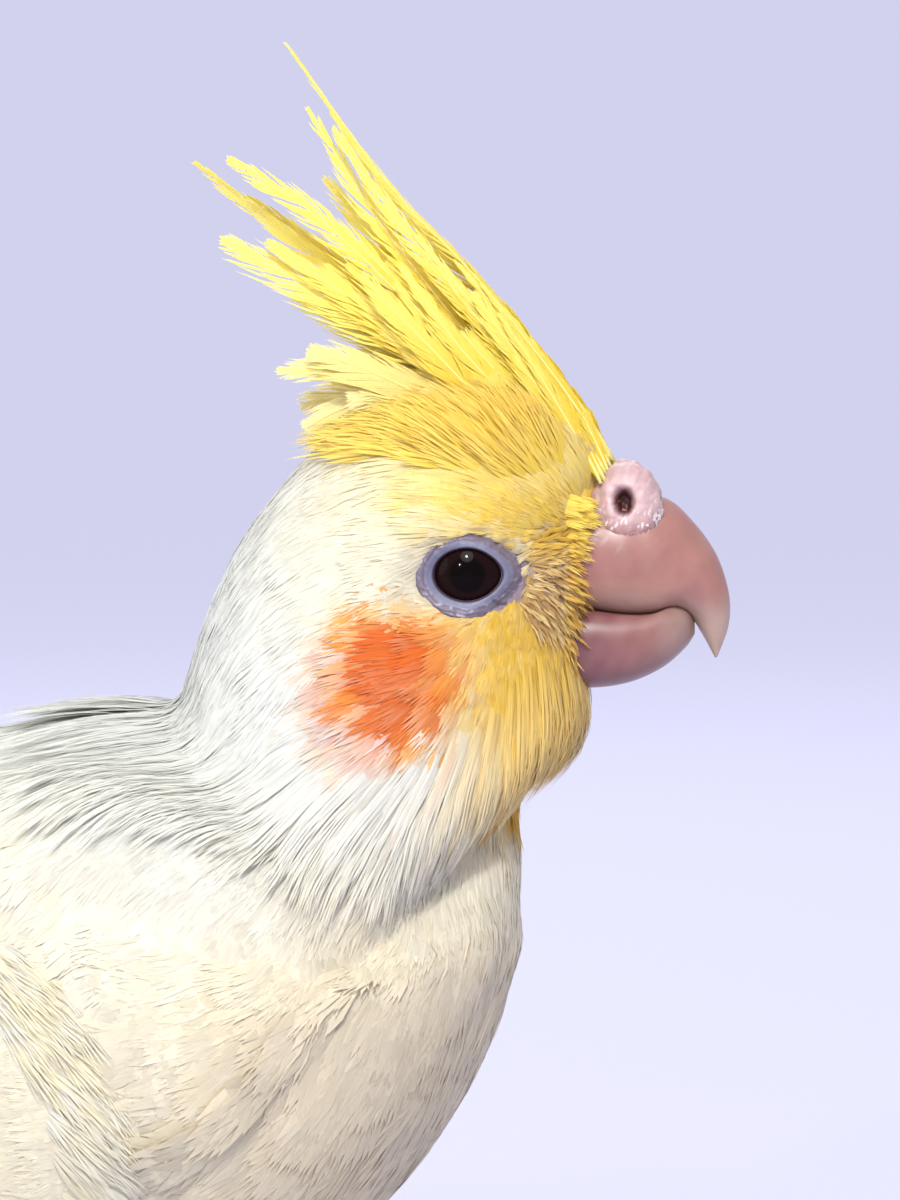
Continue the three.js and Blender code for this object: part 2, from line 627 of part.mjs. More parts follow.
// Colours, as [colour, roughness]
const FINISHES = {
  cream: [0xf4f0dc, 0.85],
  yellow: [0xf4d94e, 0.85],
  bill: [0xd9a39a, 0.45],
  cere: [0xe3c2c4, 0.55],
  lid: [0xa9a6bd, 0.6],
  eye: [0x1a0508, 0.05],
  skin: [0xd8a6a0, 0.7],
  claw: [0xb89a94, 0.45],
};

function finish(name) {
  const [color, roughness] = FINISHES[name];
  return new THREE.MeshStandardMaterial({ color, roughness, metalness: 0 });
}

// A named mesh from a solid
function piece(name, solid, look) {
  const mesh = largest(solid).getMesh();
  const geometry = new THREE.BufferGeometry();
  const points = new Float32Array(mesh.numVert * 3);
  for (let i = 0; i < mesh.numVert; i++) {
    points.set(mesh.vertProperties.subarray(i * mesh.numProp, i * mesh.numProp + 3), i * 3);
  }
  geometry.setAttribute("position", new THREE.BufferAttribute(points, 3));
  geometry.setIndex(new THREE.BufferAttribute(mesh.triVerts, 1));
  geometry.computeVertexNormals();
  const made = new THREE.Mesh(geometry, finish(look));
  made.name = name;
  return made;
}

const SIDES = { left: 1, right: -1 };

function headPieces() {
  const whole = headLoft(headRings(0));
  const bothSides = (make) => union(Object.values(SIDES).map(make));
  const upperRoom = headLoft(upperBillRings(GAP));
  const upper = headLoft(upperBillRings(0)).subtract(cereLobes(GAP)).intersect(aheadOf(BILL_ROOT_X));
  const nostrils = bothSides((side) =>
    headEllipsoid(v3(NOSTRIL.x, side * NOSTRIL.y, NOSTRIL.z), NOSTRIL_RADII, 0, 9));
  const lower = headLoft(lowerBillRings(0)).subtract(upperRoom).intersect(aheadOf(BILL_ROOT_X));
  const head = whole
    .subtract(underNeckCut(0))
    .subtract(loft(torsoRings(GAP)))
    .subtract(crestCap(GAP))
    .subtract(bothSides(eyeSocket))
    .subtract(bothSides(eyeCup))
    .subtract(bothSides((side) => eyeball(side, GAP)));
  const face = head
    .subtract(upperRoom.intersect(aheadOf(BILL_ROOT_X - GAP)))
    .subtract(headLoft(lowerBillRings(GAP)).intersect(aheadOf(BILL_ROOT_X - GAP)))
    .subtract(cereLobes(GAP));
  const pieces = [
    piece("head", face, "cream"),
    piece("crest", crest(), "yellow"),
    piece("bill_upper", upper, "bill"),
    piece("bill_lower", lower, "bill"),
    piece("cere", cereLobes(0).subtract(nostrils).subtract(headLoft(upperBillRings(0))), "cere"),
  ];
  for (const [name, side] of Object.entries(SIDES)) {
    pieces.push(piece("eye_" + name, eyeball(side, 0), "eye"));
    pieces.push(piece("eyelids_" + name, eyeRing(side), "lid"));
  }
  return pieces;
}

function bodyPieces() {
  const torso = loft(torsoRings(0));
  const neckWhole = headLoft(headRings(0)).intersect(underNeckCut(-GAP));
  const pieces = [
    piece("torso", torso, "cream"),
    piece("neck", neckWhole.subtract(loft(torsoRings(GAP))), "cream"),
    piece("tail", union([tailRoot(0), ...tailFeathers(), ...tailCoverts()]), "cream"),
  ];
  for (const [name, side] of Object.entries(SIDES)) {
    pieces.push(piece("wing_" + name, wing(side), "cream"));
    pieces.push(piece("thigh_" + name, thigh(side), "cream"));
    pieces.push(piece("foot_" + name, foot(side), "skin"));
    TOES.forEach((toe, i) => pieces.push(piece(`claw_${name}_${i + 1}`, claw(toe, side), "claw")));
  }
  return pieces;
}

const bird = new THREE.Group();
bird.add(...headPieces(), ...bodyPieces());

export default bird;
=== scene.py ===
"""A life-size lutino cockatiel, standing, with its head turned a little to its left."""
import math

import bpy
import numpy as np
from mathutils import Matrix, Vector
from mathutils.bvhtree import BVHTree


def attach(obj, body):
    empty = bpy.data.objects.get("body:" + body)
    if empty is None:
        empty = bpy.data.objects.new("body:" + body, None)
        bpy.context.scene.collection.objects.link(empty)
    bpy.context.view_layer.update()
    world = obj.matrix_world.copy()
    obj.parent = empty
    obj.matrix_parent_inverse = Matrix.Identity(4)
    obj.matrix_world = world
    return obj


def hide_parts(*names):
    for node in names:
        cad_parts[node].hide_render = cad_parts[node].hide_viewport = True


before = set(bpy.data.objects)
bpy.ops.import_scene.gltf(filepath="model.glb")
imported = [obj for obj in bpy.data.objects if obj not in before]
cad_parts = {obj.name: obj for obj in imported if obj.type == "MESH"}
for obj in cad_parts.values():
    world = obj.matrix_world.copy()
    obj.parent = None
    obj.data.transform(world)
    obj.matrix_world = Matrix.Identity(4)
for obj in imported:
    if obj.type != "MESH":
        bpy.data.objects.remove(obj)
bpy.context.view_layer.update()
MM = 0.001
SIDES = {"left": 1, "right": -1}

# Driving dimensions in millimetres, the same as the solids have
EYE_HEIGHT = 96.0
NECK_PIVOT_X = 95.0
EYE_AHEAD = 14.0
HEAD_YAW = math.radians(18)
TURN_LOW, TURN_HIGH = -40.0, -14.0
EYEBALL_RADIUS, EYEBALL_SIDE = 4.1, 7.55
FOOT_X, FOOT_SIDE = 65.0, 14.5
ANKLE = np.array([57.5, 14.8, 17.0])
TOE_RADIUS, TOE_AXIS_HEIGHT, CLAW_LENGTH = 1.75, 1.4, 5.2

BACK_LINE = [(-12, 58.5), (0, 62.5), (20, 68.5), (45, 76), (66, 82), (83, 84.5), (97, 81.5), (108, 76),
             (114.4, 67.5)]
BELLY_LINE = [(-12, 48), (2, 45), (22, 38.5), (45, 31.5), (67, 28.5), (85, 31), (99, 39.5), (108.5, 51),
              (113.6, 63)]
TORSO_WIDTHS = [8.5, 12.5, 18.5, 23, 25.3, 25.6, 22.6, 15.5, 5]
TORSO_SQUARE, TORSO_LENGTH = 2.1, 126.0
FRONT_LINE = [(-4, -44), (1, -36), (4.6, -28), (6.6, -20), (9, -12), (9.9, -5), (10.2, 2), (11.7, 7.5),
              (10.6, 11),
              (6.2, 13.4), (1.5, 14.1)]
NAPE_LINE = [(-24, -46), (-26, -38), (-26.6, -30), (-25.4, -21), (-23.6, -12), (-21.9, -5), (-19, 2),
             (-15, 7.5),
             (-11.6, 11), (-7.6, 13.2), (-3.5, 14.1)]
HEAD_WIDTHS = [11, 14, 16, 16.8, 16.2, 14.5, 12.8, 11.5, 9.8, 7, 2.6]
HEAD_SQUARE, HEAD_EGG = 2.15, 0.2
TAIL_ROOT_BACK = [(-12.3, 58.4), (-24, 54.6), (-36, 50.2), (-46, 46.4)]
TAIL_ROOT_BELLY = [(-12.3, 48.1), (-24, 47.2), (-36, 44.8), (-46, 43.2)]
TAIL_ROOT_WIDTHS = [8.4, 8.2, 7.6, 6.6]
RIDGE_LINE = [(7, 6), (12.2, 6), (16.1, 5.6), (18.5, 3.6), (20.4, 0.9), (21.4, -2.2), (21.4, -4.8),
              (20.5, -7.4)]
CUTTING_LINE = [(6.2, -3.4), (9.5, -3.6), (12.5, -4), (14.9, -4), (16.8, -3.4), (18.1, -3.9), (19.2, -5.5),
                (20.3, -7.5)]
UPPER_WIDTHS = [4.8, 5.1, 4.9, 4.3, 3.5, 2.6, 1.5, 0.25]
LOWER_RIM = [(6.4, -2.4), (10, -2.6), (13.4, -2.9), (16.2, -2.7), (17.9, -3.3), (18.6, -4.4)]
LOWER_KEEL = [(6, -9.4), (9.8, -9.9), (13.1, -9.5), (15.9, -8.3), (17.8, -6.7), (18.6, -5.6)]
LOWER_WIDTHS = [4.5, 4.7, 4.4, 3.6, 2.3, 0.8]


# Numbers and curves

def smooth(low, high, x):
    t = np.clip((np.asarray(x, float) - low) / (high - low), 0, 1)
    return t * t * (3 - 2 * t)


def mix(a, b, t):
    return a + (b - a) * t


def unit(v):
    return v / np.maximum(np.linalg.norm(v, axis=-1, keepdims=True), 1e-9)


def curve(values, u):
    """A smooth curve through evenly spaced values, at each u from 0 to 1."""
    v = np.asarray(values, float)
    last = len(v) - 1
    t = np.clip(np.asarray(u, float), 0, 1) * last
    i = np.minimum(t.astype(int), last)
    w = t - i
    p0, p1 = v[np.maximum(i - 1, 0)], v[i]
    p2, p3 = v[np.minimum(i + 1, last)], v[np.minimum(i + 2, last)]
    w = w.reshape(w.shape + (1,) * (v.ndim - 1))
    a, b = (p2 - p0) * 0.5, (p3 - p1) * 0.5
    return (2 * p1 - 2 * p2 + a + b) * w ** 3 + (-3 * p1 + 3 * p2 - 2 * a - b) * w ** 2 + a * w + p1


def noise(p, scale, seed=0):
    """A cheap smooth noise from -1 to 1 at points p, with features about 1/scale across."""
    q = np.asarray(p, float) * scale
    angles = np.random.default_rng(seed).uniform(0, 6.28, (5, 4))
    total = np.zeros(q.shape[:-1])
    for i, (a, b, c, d) in enumerate(angles):
        way = np.array([math.cos(a), math.sin(a) * math.cos(b), math.sin(a) * math.sin(b)])
        total += np.sin(q @ way * (1 + 0.37 * i) * 3.1 + c + 1.7 * np.sin(q @ way[::-1] * 1.9 + d))
    return total / len(angles)


def place_head(p):
    """From the head's plane, measured from the eye's centre, to the bird's place."""
    p = np.asarray(p, float)
    yaw = HEAD_YAW * smooth(TURN_LOW, TURN_HIGH, p[..., 2])
    ahead = p[..., 0] + EYE_AHEAD
    c, s = np.cos(yaw), np.sin(yaw)
    return np.stack([NECK_PIVOT_X + ahead * c - p[..., 1] * s, ahead * s + p[..., 1] * c,
                     EYE_HEIGHT + p[..., 2]], -1)


def head_place(q):
    """The way back: any point of the bird in the head's plane."""
    q = np.asarray(q, float)
    z = q[..., 2] - EYE_HEIGHT
    yaw = HEAD_YAW * smooth(TURN_LOW, TURN_HIGH, z)
    dx, y = q[..., 0] - NECK_PIVOT_X, q[..., 1]
    c, s = np.cos(yaw), np.sin(yaw)
    return np.stack([dx * c + y * s - EYE_AHEAD, -dx * s + y * c, z], -1)


def turn_head(d, z):
    """A direction in the head's plane at height z, as the bird has it."""
    yaw = HEAD_YAW * smooth(TURN_LOW, TURN_HIGH, z)
    c, s = np.cos(yaw), np.sin(yaw)
    return np.stack([d[..., 0] * c - d[..., 1] * s, d[..., 0] * s + d[..., 1] * c, d[..., 2]], -1)


def rings(first, second, widths, stations, count, square=2.0, egg=0.0, grow=0.0):
    """Closed rings between two outline curves of a middle plane, as the solids' lofts have them."""
    u = np.asarray(stations, float)
    a, b, w = curve(first, u), curve(second, u), curve(widths, u)
    centre = (a + b) / 2
    reach = (a - b) / 2
    half = np.linalg.norm(reach, axis=1, keepdims=True)
    reach = reach / np.maximum(half, 1e-9)
    angle = 2 * np.pi * np.arange(count) / count
    c, s = np.cos(angle), np.sin(angle)
    power = 2 / square
    out = (np.sign(c) * np.abs(c) ** power)[None] * (half + grow)
    side = (np.sign(s) * np.abs(s) ** power * (1 - egg * np.maximum(0, c)))[None] * (w[:, None] + grow)
    xz = centre[:, None] + reach[:, None] * out[..., None]
    return np.stack([xz[..., 0], side, xz[..., 1]], -1)


# Meshes

def make_mesh(name, points, faces, material, slot=None, replaces=()):
    """A piece from points in millimetres and a face array, or a list of face arrays."""
    mesh = bpy.data.meshes.new(name)
    groups = faces if isinstance(faces, list) else [faces]
    mesh.vertices.add(len(points))
    mesh.vertices.foreach_set("co", (np.asarray(points, np.float32) * MM).ravel())
    corners = np.concatenate([np.asarray(g).ravel() for g in groups])
    sizes = np.concatenate([np.full(len(g), np.asarray(g).shape[1]) for g in groups])
    mesh.loops.add(len(corners))
    mesh.loops.foreach_set("vertex_index", corners.astype(np.int32))
    mesh.polygons.add(len(sizes))
    mesh.polygons.foreach_set("loop_start", (np.cumsum(sizes) - sizes).astype(np.int32))
    mesh.polygons.foreach_set("use_smooth", np.ones(len(sizes), bool))
    mesh.update(calc_edges=True)
    obj = bpy.data.objects.new(name, mesh)
    bpy.context.scene.collection.objects.link(obj)
    if material is not None:
        mesh.materials.append(material)
    if slot:
        finish(obj, replaces)
    return obj


def finish(obj, replaces=()):
    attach(obj, "root")
    if replaces:
        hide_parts(*replaces)


def loft(ring_points):
    """Points and faces of a closed loft through rings (r, c, 3), with a fan at each end."""
    r, c, _ = ring_points.shape
    points = np.concatenate([ring_points.reshape(-1, 3), ring_points[0].mean(0)[None],
                             ring_points[-1].mean(0)[None]])
    i, j = np.meshgrid(np.arange(r - 1), np.arange(c), indexing="ij")
    k = (j + 1) % c
    quads = np.stack([i * c + j, i * c + k, (i + 1) * c + k, (i + 1) * c + j], -1).reshape(-1, 4)
    around = np.arange(c)
    following = (around + 1) % c
    low = np.stack([following, around, np.full(c, r * c)], -1)
    high = np.stack([(r - 1) * c + around, (r - 1) * c + following, np.full(c, r * c + 1)], -1)
    return points, [quads, np.concatenate([low, high])]


def tube(path, radii, count):
    """Rings round a curve in space."""
    steps = len(radii)
    s = np.linspace(0, 1, steps)
    centre = curve(path, s)
    ahead = unit(curve(path, np.clip(s + 0.01, 0, 1)) - curve(path, np.clip(s - 0.01, 0, 1)))
    aside = np.where(np.abs(ahead[:, 1:2]) > 0.9, [[1.0, 0, 0]], [[0, 1.0, 0]])
    across = unit(np.cross(ahead, aside))
    up = unit(np.cross(ahead, across))
    angle = 2 * np.pi * np.arange(count) / count
    radii = np.asarray(radii, float)[:, None, None]
    return centre[:, None] + (across[:, None] * np.cos(angle)[None, :, None]
                              + up[:, None] * np.sin(angle)[None, :, None]) * radii


def grid_faces(rows, cols):
    i, j = np.meshgrid(np.arange(rows - 1), np.arange(cols - 1), indexing="ij")
    a = i * cols + j
    return np.stack([a, a + 1, a + cols + 1, a + cols], -1).reshape(-1, 4)


def merged(parts):
    """Several (points, faces) into one."""
    points, faces, base = [], [], 0
    for p, groups in parts:
        points.append(p)
        for g in groups if isinstance(groups, list) else [groups]:
            faces.append(np.asarray(g) + base)
        base += len(p)
    return np.concatenate(points), faces


def paint(obj, colours):
    """A colour for each point of a piece."""
    layer = obj.data.color_attributes.new("Plumage", "FLOAT_COLOR", "POINT")
    rgba = np.concatenate([colours, np.ones((len(colours), 1))], 1).astype(np.float32)
    layer.data.foreach_set("color", rgba.ravel())


def uv_layer(obj, name, coordinates):
    """A UV map from a coordinate pair for each point."""
    mesh = obj.data
    corner = np.zeros(len(mesh.loops), np.int32)
    mesh.loops.foreach_get("vertex_index", corner)
    layer = mesh.uv_layers.new(name=name)
    layer.uv.foreach_set("vector", coordinates[corner].astype(np.float32).ravel())


# Colours, as seen on screen, turned to light values

def screen(r, g, b):
    c = np.array([r, g, b], float) / 255
    return np.where(c <= 0.04045, c / 12.92, ((c + 0.055) / 1.055) ** 2.4)


def over(colour, top, amount):
    """A colour with another laid over it, by an amount for each point."""
    return mix(colour, top, np.clip(amount, 0, 1)[..., None])


def oval(x, z, place):
    """Below 1 inside an oval of the head's plane, given by its centre and its radii."""
    (middle_x, middle_z), (radius_x, radius_z) = place
    return ((x - middle_x) / radius_x) ** 2 + ((z - middle_z) / radius_z) ** 2


# Ovals of the head's plane, in millimetres: centre and radii
EAR_PATCH = (-6.7, -8.7), (5.2, 5.5)
EAR_FEATHERS = (-6.5, -7.5), (5, 5)
BARE_LORES = (7.2, -0.3), (2.7, 3.4)
BARE_RING = (0.5, -0.05), (4.1, 3.1)
SUNK_RING = (0.2, 0), (4.2, 3.3)
DARK_RING = (0.3, 0), (4.5, 3.6)

WHITE = screen(223, 221, 211)
COOL_WHITE = screen(217, 220, 213)
CREAM = screen(231, 222, 190)
STRAW = screen(234, 216, 152)
SHADE_BEIGE = screen(212, 196, 174)
LEMON = screen(240, 204, 36)
FACE_YELLOW = screen(228, 188, 60)
MUSTARD = screen(222, 172, 52)
ORANGE = screen(212, 92, 24)
PALE_ORANGE = screen(236, 170, 64)
LORES = screen(150, 122, 132)


def plumage_colour(h):
    """Markings from a place in the head's plane, with painted shade in beige over the lower breast. Skin and coat
    both take their colour from here.
    """
    x, y, z = h[..., 0], h[..., 1], h[..., 2]
    wave = noise(h, 0.22, 3)
    fine = noise(h, 0.7, 4)
    colour = np.broadcast_to(WHITE, h.shape).copy()

    # body: white with cream and straw washes on the breast and along the back, and painted shade in beige over the
    # lower breast
    breast = smooth(-24, -36, z) * smooth(-26, -6, x)
    colour = over(colour, CREAM, 0.75 * smooth(-16, -40, z))
    colour = over(colour, STRAW, breast * (0.35 + 0.25 * wave))
    # painted shade: greyish beige over the lower front of the breast
    colour = over(colour, SHADE_BEIGE, 0.55 * breast)
    colour = over(colour, STRAW, smooth(-20, -44, x) * smooth(-8, -20, z) * np.clip(0.2 + 0.4 * wave, 0, 1))
    # nape: a cooler white
    colour = over(colour, COOL_WHITE, 0.6 * smooth(-8, -15, x) * smooth(-26, -14, z) * smooth(10, 4, z))
    # crown: yellow fading to cream behind
    edge = x + 0.35 * z + 0.9 * fine
    colour = over(colour, CREAM, 0.8 * smooth(-16, -6, x) * smooth(-1, 4, z))
    colour = over(colour, CREAM, 0.7 * smooth(-20, -10, x) * smooth(-9, -2, z) * smooth(9, 3, z))
    colour = over(colour, LEMON, smooth(-10, 2.5, edge) * smooth(0.5, 6.5, z + 0.25 * x + 0.8 * wave))
    colour = over(colour, STRAW, 0.5 * smooth(-14, -4, x) * smooth(2, 9, z))
    # face: yellow in front of the cheek, paler towards the throat
    face = smooth(-6.5, 1.4, x + 0.1 * z + 1.1 * fine) * smooth(2.5, -3, z)
    colour = over(colour, FACE_YELLOW, face * smooth(-27, -15, z + 0.15 * x + 1.6 * fine) * 0.97)
    colour = over(colour, STRAW, 0.5 * face * smooth(-27, -18, z) * smooth(-12, -16, z))
    # bare looking skin between the eye and the bill
    lores = np.exp(-oval(x, z, BARE_LORES) * 1.1)
    colour = over(colour, LORES, 0.95 * lores * smooth(3, 6, np.abs(y)))
    # the orange patch over the ear
    patch = oval(x, z, EAR_PATCH) + 0.2 * fine
    ear = smooth(6, 9, np.abs(y))
    colour = over(colour, PALE_ORANGE, 0.95 * smooth(1.75, 0.95, patch) * ear)
    colour = over(colour, ORANGE, smooth(1.15, 0.55, patch) * ear * (0.9 + 0.1 * wave))
    return colour


# Materials

def new_material(name):
    material = bpy.data.materials.new(name)
    material.use_nodes = True
    tree = material.node_tree
    shader = tree.nodes["Principled BSDF"]
    return material, tree, shader


def node(tree, kind, **settings):
    made = tree.nodes.new(kind)
    for key, value in settings.items():
        if key.startswith("in_"):
            made.inputs[key[3:].replace("_", " ")].default_value = value
        else:
            setattr(made, key, value)
    return made


def grained(tree, shader, colour, grain, low, high):
    """The mesh's colour times a grain between two factors, as the shader's base colour."""
    shade = node(tree, "ShaderNodeMapRange")
    for key, value in {"From Min": 0.3, "From Max": 0.7, "To Min": low, "To Max": high}.items():
        shade.inputs[key].default_value = value
    tint = node(tree, "ShaderNodeVectorMath", operation="SCALE")
    tree.links.new(grain.outputs["Fac"], shade.inputs["Value"])
    tree.links.new(colour.outputs["Color"], tint.inputs[0])
    tree.links.new(shade.outputs["Result"], tint.inputs["Scale"])
    tree.links.new(tint.outputs["Vector"], shader.inputs["Base Color"])
    return tint.outputs["Vector"]


def relief(tree, shader, grain, strength, distance):
    """Fine relief from the same grain."""
    ridge = node(tree, "ShaderNodeBump", in_Strength=strength, in_Distance=distance)
    tree.links.new(grain.outputs["Fac"], ridge.inputs["Height"])
    tree.links.new(ridge.outputs["Normal"], shader.inputs["Normal"])


LIGHT_SHARE = 0.3


def plumage_material(name, streak=0.16, bump=0.25, sheen=0.25, roughness=0.72, strand_scale=(5.5, 0.35, 1)):
    """Feather: its colour comes with the mesh, with fine barbs along each strand."""
    material, tree, shader = new_material(name)
    link = tree.links.new
    colour = node(tree, "ShaderNodeVertexColor", layer_name="Plumage")
    strand = node(tree, "ShaderNodeUVMap", uv_map="Strand")
    place = node(tree, "ShaderNodeMapping")
    place.inputs["Scale"].default_value = strand_scale
    link(strand.outputs["UV"], place.inputs["Vector"])
    barbs = node(tree, "ShaderNodeTexNoise", in_Scale=1.0, in_Detail=2.0, in_Roughness=0.6)
    link(place.outputs["Vector"], barbs.inputs["Vector"])
    tint = grained(tree, shader, colour, barbs, 1 - streak, 1 + streak * 0.5)
    relief(tree, shader, barbs, bump, 0.0001)
    shader.inputs["Roughness"].default_value = roughness
    shader.inputs["Sheen Weight"].default_value = sheen
    shader.inputs["Sheen Roughness"].default_value = 0.4
    shader.inputs["Specular IOR Level"].default_value = 0.25
    let_light_through(tree, shader, tint, LIGHT_SHARE)
    return material


def let_light_through(tree, shader, colour, share):
    """Thin barbs glow with the light behind them."""
    behind = node(tree, "ShaderNodeBsdfTranslucent")
    both = node(tree, "ShaderNodeMixShader", in_Fac=share)
    tree.links.new(colour, behind.inputs["Color"])
    tree.links.new(shader.outputs["BSDF"], both.inputs[1])
    tree.links.new(behind.outputs["BSDF"], both.inputs[2])
    tree.links.new(both.outputs["Shader"], tree.nodes["Material Output"].inputs["Surface"])


def skin_material():
    """What shows between the feathers: the same markings, over a fine down."""
    material, tree, shader = new_material("skin_down")
    link = tree.links.new
    colour = node(tree, "ShaderNodeVertexColor", layer_name="Plumage")
    down = node(tree, "ShaderNodeTexNoise", in_Scale=900.0, in_Detail=3.0)
    place = node(tree, "ShaderNodeTexCoord")
    link(place.outputs["Object"], down.inputs["Vector"])
    relief(tree, shader, down, 0.4, 0.0002)
    link(colour.outputs["Color"], shader.inputs["Base Color"])
    shader.inputs["Roughness"].default_value = 0.85
    return material


FEATHER = plumage_material("feather_soft", streak=0.08, bump=0.15)
FACE_FEATHER = plumage_material("feather_face", streak=0.1, bump=0.15, strand_scale=(9, 0.4, 1))
DOWN = skin_material()


# Skin: one closed form under the whole coat

BODY_STATIONS, BODY_COUNT = np.linspace(0, 1, 110), 96


def torso_rings():
    return rings(BACK_LINE, BELLY_LINE, TORSO_WIDTHS, BODY_STATIONS, BODY_COUNT, TORSO_SQUARE)


def head_rings():
    return place_head(rings(FRONT_LINE, NAPE_LINE, HEAD_WIDTHS, BODY_STATIONS, BODY_COUNT, HEAD_SQUARE,
                            HEAD_EGG))


def over_torso(u, angle, height, side):
    """A point over the torso's surface, as the wings use it."""
    u, angle, height = np.broadcast_arrays(np.asarray(u, float), angle, height)
    back, belly = curve(BACK_LINE, u), curve(BELLY_LINE, u)
    reach = back - belly
    length = np.linalg.norm(reach, axis=-1)
    way = reach / length[..., None]
    power = 2 / TORSO_SQUARE
    c, s = np.cos(angle), np.sin(angle)
    out = np.sign(c) * np.abs(c) ** power * (length / 2 + height)
    wide = side * np.abs(s) ** power * (curve(TORSO_WIDTHS, u) + height)
    middle = (back + belly) / 2
    return np.stack([middle[..., 0] + way[..., 0] * out, wide, middle[..., 1] + way[..., 1] * out], -1)


WING_FRONT, WING_BACK, WING_THICKNESS = 0.865, 0.2, 2.7
WING_UPPER = [0.6, 0.45, 0.5, 0.74, 1.05]
WING_LOWER = [1.75, 1.95, 2.02, 2.0, 1.85]


def wing_core(side, stations=60, across=40):
    f = np.sin(np.linspace(0, 1, stations) * np.pi / 2)
    u = mix(WING_BACK, WING_FRONT, f)
    rounding = np.sqrt(np.maximum(0, 1 - smooth(0.72, 1, f) ** 2 * 0.985))
    upper, lower = curve(WING_UPPER, f), curve(WING_LOWER, f)
    t = np.linspace(-1, 1, across)
    angle = ((upper + lower) / 2)[:, None] + ((lower - upper) / 2 * rounding)[:, None] * t[None]
    swell = np.sqrt(np.maximum(0, 1 - t ** 2))[None] * rounding[:, None] ** 0.5
    rear = mix(0.45, 1, smooth(0, 0.35, f))[:, None]
    high = over_torso(u[:, None], angle, 0.6 + (WING_THICKNESS - 0.9) * swell * rear, side)
    low = over_torso(u[:, None], angle, -1.5, side)
    return loft(np.concatenate([high, low[:, ::-1]], 1))


THIGH_TOP = np.array([70, 13.4, 37.0])


def thigh_core(side):
    flip = np.array([1, side, 1])
    ankle, top = ANKLE * flip, THIGH_TOP * flip
    knee = mix(top, ankle, 0.5) + np.array([1.2, 0, 0])
    radii = np.array([0.6, 0.92, 1, 0.86, 0.64, 0.46, 0.3])
    radii = curve(radii, np.linspace(0, 1, 26)) * 9.6
    return loft(tube([mix(top, ankle, -0.35), top, knee, ankle], radii, 32))


def neighbour_mean(points, edges, rounds, share=0.5):
    a, b = edges[:, 0], edges[:, 1]
    degree = np.bincount(edges.ravel(), minlength=len(points)).astype(float)[:, None]
    for _ in range(rounds):
        total = np.zeros_like(points)
        for k in range(3):
            total[:, k] = (np.bincount(a, points[b, k], len(points))
                           + np.bincount(b, points[a, k], len(points)))
        points = mix(points, total / degree, share)
    return points


def remeshed(parts, voxel, rounds):
    """Closed parts grown together into one smooth form, as points and quads in millimetres."""
    points, faces = merged(parts)
    rough = make_mesh("rough_form", points, faces, None)
    remesh = rough.modifiers.new("join", "REMESH")
    remesh.mode = "VOXEL"
    remesh.voxel_size = voxel * MM
    shape = bpy.data.meshes.new_from_object(rough.evaluated_get(bpy.context.evaluated_depsgraph_get()))
    bpy.data.objects.remove(rough)
    co = np.zeros(len(shape.vertices) * 3, np.float32)
    shape.vertices.foreach_get("co", co)
    co = co.reshape(-1, 3).astype(float) / MM
    edges = np.zeros(len(shape.edges) * 2, np.int32)
    shape.edges.foreach_get("vertices", edges)
    corners = np.zeros(len(shape.loops), np.int32)
    shape.loops.foreach_get("vertex_index", corners)
    bpy.data.meshes.remove(shape)
    return neighbour_mean(co, edges.reshape(-1, 2), rounds), corners.reshape(-1, 4)


SKIN_VOXEL, SKIN_ROUNDS = 0.8, 10


def coat_depth(h):
    """How far the skin lies under the coat, in millimetres."""
    body = smooth(-14, -34, h[..., 2])
    depth = mix(0.65, 1.15, body)
    face = smooth(-6, 4, h[..., 0]) * smooth(-16, -8, h[..., 2])
    return mix(depth, 0.4, face)


# Lower edge of the head's loose feathers, over the breast and shoulder
RUFF_EDGE_X, RUFF_EDGE_Z = [-27, -13, -4.5, 2.6, 6], [-22, -25.5, -26.7, -20.8, -17.5]


def ruff_edge(x):
    return np.interp(x, RUFF_EDGE_X, RUFF_EDGE_Z)


# Front edge of the folded wing, seen from the side
BEND_HEIGHTS, BEND_AHEAD = [34, 44, 54, 62, 70], [84, 88.5, 89, 86, 79]


def bend_edge(z):
    return np.interp(z, BEND_HEIGHTS, BEND_AHEAD)


SOCKET_CENTRE, SOCKET_RADII = (-0.8, 6.8, 0.1), (6.8, 3.4, 5.4)


def dish_eyes(points):
    """Hollows the skin round each eye, and sinks it behind the lids."""
    h = head_place(points)
    side = np.sign(h[:, 1])
    x, y, z = h[:, 0], np.abs(h[:, 1]), h[:, 2]
    shape = 1 - ((x - SOCKET_CENTRE[0]) / SOCKET_RADII[0]) ** 2 - ((z - SOCKET_CENTRE[2])
                                                                   / SOCKET_RADII[2]) ** 2
    dish = EYEBALL_SIDE + SOCKET_CENTRE[1] - SOCKET_RADII[1] * np.sqrt(np.maximum(shape, 0))
    near = (shape > 0) & (y > 6)
    y = np.where(near, np.minimum(y, dish), y)
    ring = oval(x, z, SUNK_RING)
    y = y - np.where(near, 2.2 * smooth(0.95, 0.5, ring), 0)
    return place_head(np.stack([x, side * y, z], -1))


